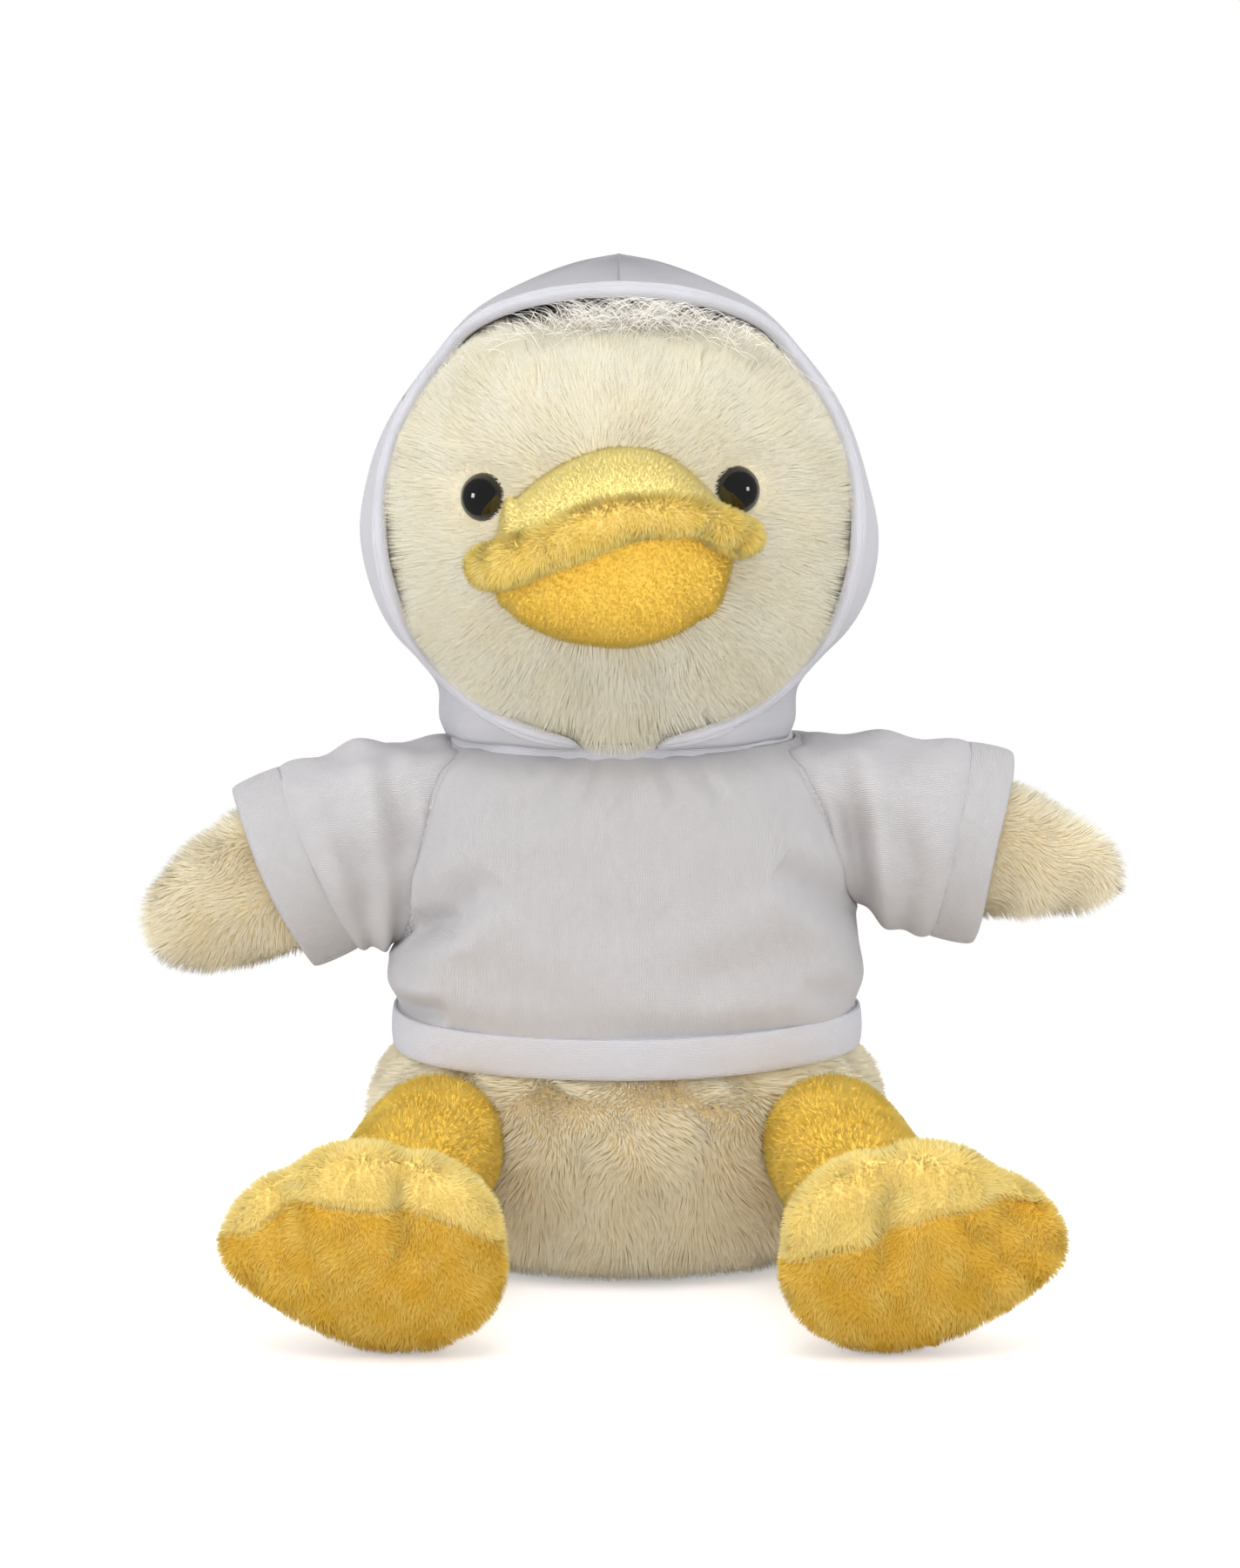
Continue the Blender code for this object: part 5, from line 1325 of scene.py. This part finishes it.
FOLDED_SECTION = (
    (0.98, 0.72), (0.80, 0.90), (0.40, 1.08), (0.00, 1.16), (-0.45, 1.10), (-0.80, 0.90), (-0.95, 0.62),
    (-1.00, 0.28), (-1.00, -0.28), (-0.95, -0.70), (-0.82, -0.96), (-0.50, -1.00), (0.00, -1.00),
    (0.50, -1.00), (0.98, -1.00), (1.00, -0.56), (0.98, -0.12), (0.50, -0.12), (0.00, -0.12),
    (-0.50, -0.12), (-0.70, -0.10), (-0.74, 0.00), (-0.70, 0.10), (-0.50, 0.12), (0.00, 0.12),
    (0.50, 0.12), (0.98, 0.12), (1.00, 0.42), (0.98, 0.72))


def folded(up, width, thickness):
    """The section of a strip folded in two: places across its width, the fold at -1, and through it."""
    return outline(np.array(FOLDED_SECTION) * (width / 2, thickness / 2), up).T


def band_place(ring, width, thickness):
    """A folded band: ring(across) gives its line, the way from its fold to its seam and the way out."""
    def place(across, up):
        line, wide, out = ring(across)
        flat, high = folded(up, width, thickness)
        return line + wide * flat[:, None] + out * high[:, None]
    return place


def band_weave(length, width):
    """Where the knit's wales and courses run on a band, in metres."""
    def weave(across, up):
        return up * width * 4.2, across * length
    return weave


HEM_HALF = 0.0450
HEM_MIDDLE = 0.0449
HEM_WIDTH = 0.0080
HEM_THICKNESS = 0.0020
HEM_LENGTH = 0.272
HEM_WAVE = 0.0004


def hem_ring(across):
    """The hem's line round the body."""
    turn = 2 * np.pi * across
    half = HEM_HALF + HEM_WAVE * (np.sin(3 * turn + 0.6) + 0.75 * np.sin(5 * turn))
    line = as_points(half * np.sin(turn), -half * JERSEY_DEPTH_SHARE * np.cos(turn),
                     HEM_MIDDLE + HEM_WAVE * np.sin(2 * turn + 0.4))
    out = as_points(np.sin(turn), -np.cos(turn), np.full_like(turn, -0.05))
    return line, np.broadcast_to(np.array((0, 0, 1.0)), line.shape), unit(out)


hem = shaped("jersey_hem", 200, 60, band_place(hem_ring, HEM_WIDTH, HEM_THICKNESS), band_knit,
             weave=band_weave(HEM_LENGTH, HEM_WIDTH))
dress(hem, "torso", "white_knit", "hem_band")

# Sleeves: short raglan sleeves of the same knit, sewn to the body along the armholes, with turned
# cuffs. They follow the body at the seam and the wing at the cuff.
SLEEVE_ENDS = {"left": 0.0200, "right": 0.0185}
SLEEVE_HALVES = (0.0194, 0.0147)
CUFF_HALVES = (0.0187, 0.0138)
CUFF_WIDTHS = {"left": 0.0090, "right": 0.0104}
CUFF_THICKNESS = 0.0017
CUFF_WAVE = 0.0003
SLEEVE_GIRTH = 0.104
SLEEVE_LENGTH = 0.030
SLEEVE_LAP = 0.0010
SLEEVE_SEAM_SINK = 0.0016
SLEEVE_SWELL = 0.0014
SLEEVE_SEAM_DIP = 0.0010
SLEEVE_WAVE = 0.0008
SLEEVE_RIPPLE = 0.0007
SLEEVE_RIPPLE_SIZE = 0.014

for side, sign in SIDES:
    wing_root, end = shoulder(side), SLEEVE_ENDS[side]

    def sleeve_place(across, up):
        turn = 2 * np.pi * (across - 0.5)
        reach = ring_reach(side, turn)
        y, level = -reach * np.sin(turn), ROOT_RINGS[side][0] - reach * np.cos(turn)
        start = as_points(jersey_side(y, level, sign) - sign * SLEEVE_SEAM_SINK, y, level)
        own = as_points(-SLEEVE_HALVES[0] * np.cos(turn), sign * SLEEVE_HALVES[1] * np.sin(turn),
                        np.full_like(turn, end + SLEEVE_LAP))
        stop = moved(own, wing_root)
        away = unit(own * np.array((1, 1, 0)))
        away = away @ np.array(wing_root)[:3, :3].T
        s = up[:, None]
        at = start * (1 - s) + stop * s
        seam = np.exp(-(up / 0.045) ** 2) + 0.3 * np.exp(-((1 - up) / 0.045) ** 2)
        swell = SLEEVE_SWELL * np.sin(np.pi * up) ** 0.7 - SLEEVE_SEAM_DIP * seam
        swell += SLEEVE_WAVE * np.cos(2 * np.pi * 2.1 * up + 0.8 * np.sin(turn)) * np.sin(np.pi * up)
        swell += SLEEVE_RIPPLE * ripple(at, SLEEVE_RIPPLE_SIZE, 151 + sign) * np.sin(np.pi * up)
        return creased(at + away * swell[:, None], away, SLEEVE_CREASES[side])

    sleeve = shaped(f"{side}_sleeve_cloth", 96, 48, sleeve_place, white_knit, wall=KNIT_WALL,
                    weave=lambda across, up: (across * SLEEVE_GIRTH, up * SLEEVE_LENGTH))
    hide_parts(f"{side}_sleeve")
    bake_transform(sleeve)

    def cuff_ring(across):
        turn = 2 * np.pi * across
        own = as_points(CUFF_HALVES[0] * np.cos(turn), CUFF_HALVES[1] * np.sin(turn),
                        end + CUFF_WIDTHS[side] / 2 + CUFF_WAVE * np.sin(3 * turn))
        basis = np.array(wing_root)[:3, :3]
        out = as_points(np.cos(turn) / CUFF_HALVES[0], np.sin(turn) / CUFF_HALVES[1], 0 * turn)
        return moved(own, wing_root), np.broadcast_to(-basis[:, 2], own.shape), unit(out) @ basis.T

    cuff_place = band_place(cuff_ring, CUFF_WIDTHS[side], CUFF_THICKNESS)
    cuff = shaped(f"{side}_cuff_band", 120, 60, cuff_place, white_knit,
                  weave=band_weave(SLEEVE_GIRTH, CUFF_WIDTHS[side]))
    dress(cuff, f"{side}_wing", "white_knit", f"{side}_cuff")

# Hood: two halves of knit sewn together over the crown, with a turned hem round the face. Its foot
# is sewn to the jersey's neck.
HOOD_OPENING_BACK = 0.006
HOOD_OPENING_LIMIT = -0.003
HOOD_GATHER = 0.0004
HOOD_GATHER_LEVEL = 0.1040
HOOD_GATHER_RISE = 0.006
HOOD_WAVE = 0.0006
HOOD_WAVE_SIZE = 0.034
HOOD_SEAM_DIP = 0.0008
HOOD_SEAM_WIDTH = 0.0010
HOOD_GIRTH = 0.145
HOOD_HEIGHT = 0.130


def hood_front(x, level):
    """The depth of the hood's front at places of the front view."""
    half = np.maximum(hood_half(level), 0.001)
    reach = np.maximum(1 - ((x - HOOD_MIDDLE.x) / half) ** 2, 0)
    return HOOD_MIDDLE.y - np.maximum(half * HOOD_DEPTH_SHARE * np.sqrt(reach), HOOD_OPENING_BACK)


def face_hole(points):
    """How far out from the middle of the face opening the points lie, and the edge next to them."""
    share, edge_x, edge_level = in_opening(points)
    far = np.where(points[:, 1] < HOOD_OPENING_LIMIT, share, 9.0)
    return far, as_points(edge_x, hood_front(edge_x, edge_level), edge_level)


for side, sign in SIDES:
    def hood_place(across, up):
        turn = sign * np.pi * across
        half, level = outline(HOOD_PROFILE, up).T
        foot = np.exp(-((level - HOOD_GATHER_LEVEL) / HOOD_GATHER_RISE) ** 2)
        round_part = as_points(half * np.sin(turn), half * np.cos(turn), level)
        half = half + HOOD_GATHER * np.sin(turn * 11) * foot + HOOD_WAVE * ripple(
            round_part, HOOD_WAVE_SIZE, 161) * (1 - up ** 4)
        seam = np.exp(-(half * np.sin(np.pi * across) / HOOD_SEAM_WIDTH) ** 2)
        half = half - HOOD_SEAM_DIP * seam * np.clip(up * 3, 0, 1)
        half = np.maximum(half, 0)
        at = as_points(half * np.sin(turn), -half * HOOD_DEPTH_SHARE * np.cos(turn), level)
        at[:, 2] += NECK_TILT * np.cos(turn) * (1 - up) ** 12
        return at + np.array(HOOD_MIDDLE)

    # The hood halves wear the lighter copy of the knit, as painted light.
    half_hood = shaped(f"hood_{side}_half", 110, 110, hood_place, lit_hood_knit, hole=face_hole, wall=KNIT_WALL,
                       weave=lambda across, up: (across * HOOD_GIRTH, up * HOOD_HEIGHT))
    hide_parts(f"hood_{side}")
    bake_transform(half_hood)

RIM_WIDTH = 0.0039
RIM_THICKNESS = 0.0021
RIM_LENGTH = 0.270
RIM_GROOVE = 0.0005
RIM_GROOVE_WIDTH = 0.0004


def rim_place(across, up):
    """The hood's rim along the edge of its opening, with a groove along its middle."""
    turn = (2 * across - 1) * (math.pi - RIM_END)
    x, level = opening_at(turn)
    line = as_points(x, hood_front(x, level), level)
    step = 0.01
    x, level = opening_at(turn + step)
    along = unit(as_points(x, hood_front(x, level), level) - line)
    middle = np.array((HOOD_MIDDLE.x, HOOD_MIDDLE.y, HEAD_PLACE.z))
    out = unit(line - middle)
    out = unit(out - along * (out * along).sum(1, keepdims=True))
    wide = np.cross(out, along)
    full = np.sqrt(np.clip(1 - np.abs(2 * across - 1) ** 30, 0.02, 1))[:, None]
    flat, high = folded(up, RIM_WIDTH, RIM_THICKNESS)
    high = high - RIM_GROOVE * np.exp(-(flat / RIM_GROOVE_WIDTH) ** 2) * (high > RIM_THICKNESS * 0.4)
    wave = (1 + 0.08 * np.sin(turn * 9) + 0.06 * np.sin(turn * 23 + 2))[:, None]
    return line + wide * flat[:, None] * full * wave + out * high[:, None] * full


rim = shaped("hood_rim", 260, 60, rim_place, band_knit, weave=band_weave(RIM_LENGTH, RIM_WIDTH))
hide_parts("hood_band")
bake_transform(rim)

NECK_SEAM_MIDDLE = (HOOD_MIDDLE.x * 0.6, -0.0008)
NECK_SEAM_HALF = 0.0324
NECK_SEAM_LEVEL = 0.1012
NECK_SEAM_DEPTH_SHARE = 0.94
NECK_SEAM_WIDTH = 0.0038
NECK_SEAM_THICKNESS = 0.0016
NECK_SEAM_LENGTH = 0.205


def neck_ring(across):
    """The neck seam's line under the hood's foot."""
    turn = 2 * np.pi * across
    line = as_points(NECK_SEAM_MIDDLE[0] + NECK_SEAM_HALF * np.sin(turn),
                     NECK_SEAM_MIDDLE[1] - NECK_SEAM_HALF * NECK_SEAM_DEPTH_SHARE * np.cos(turn),
                     NECK_SEAM_LEVEL + NECK_TILT * np.cos(turn))
    out = as_points(np.sin(turn), -np.cos(turn), 0 * turn)
    return line, np.broadcast_to(np.array((0, 0, 1.0)), line.shape), out


neck = shaped("neck_seam", 120, 44, band_place(neck_ring, NECK_SEAM_WIDTH, NECK_SEAM_THICKNESS), band_knit,
              weave=band_weave(NECK_SEAM_LENGTH, NECK_SEAM_WIDTH))
dress(neck, "torso", "white_knit", "neck_band")

bpy.context.view_layer.update()
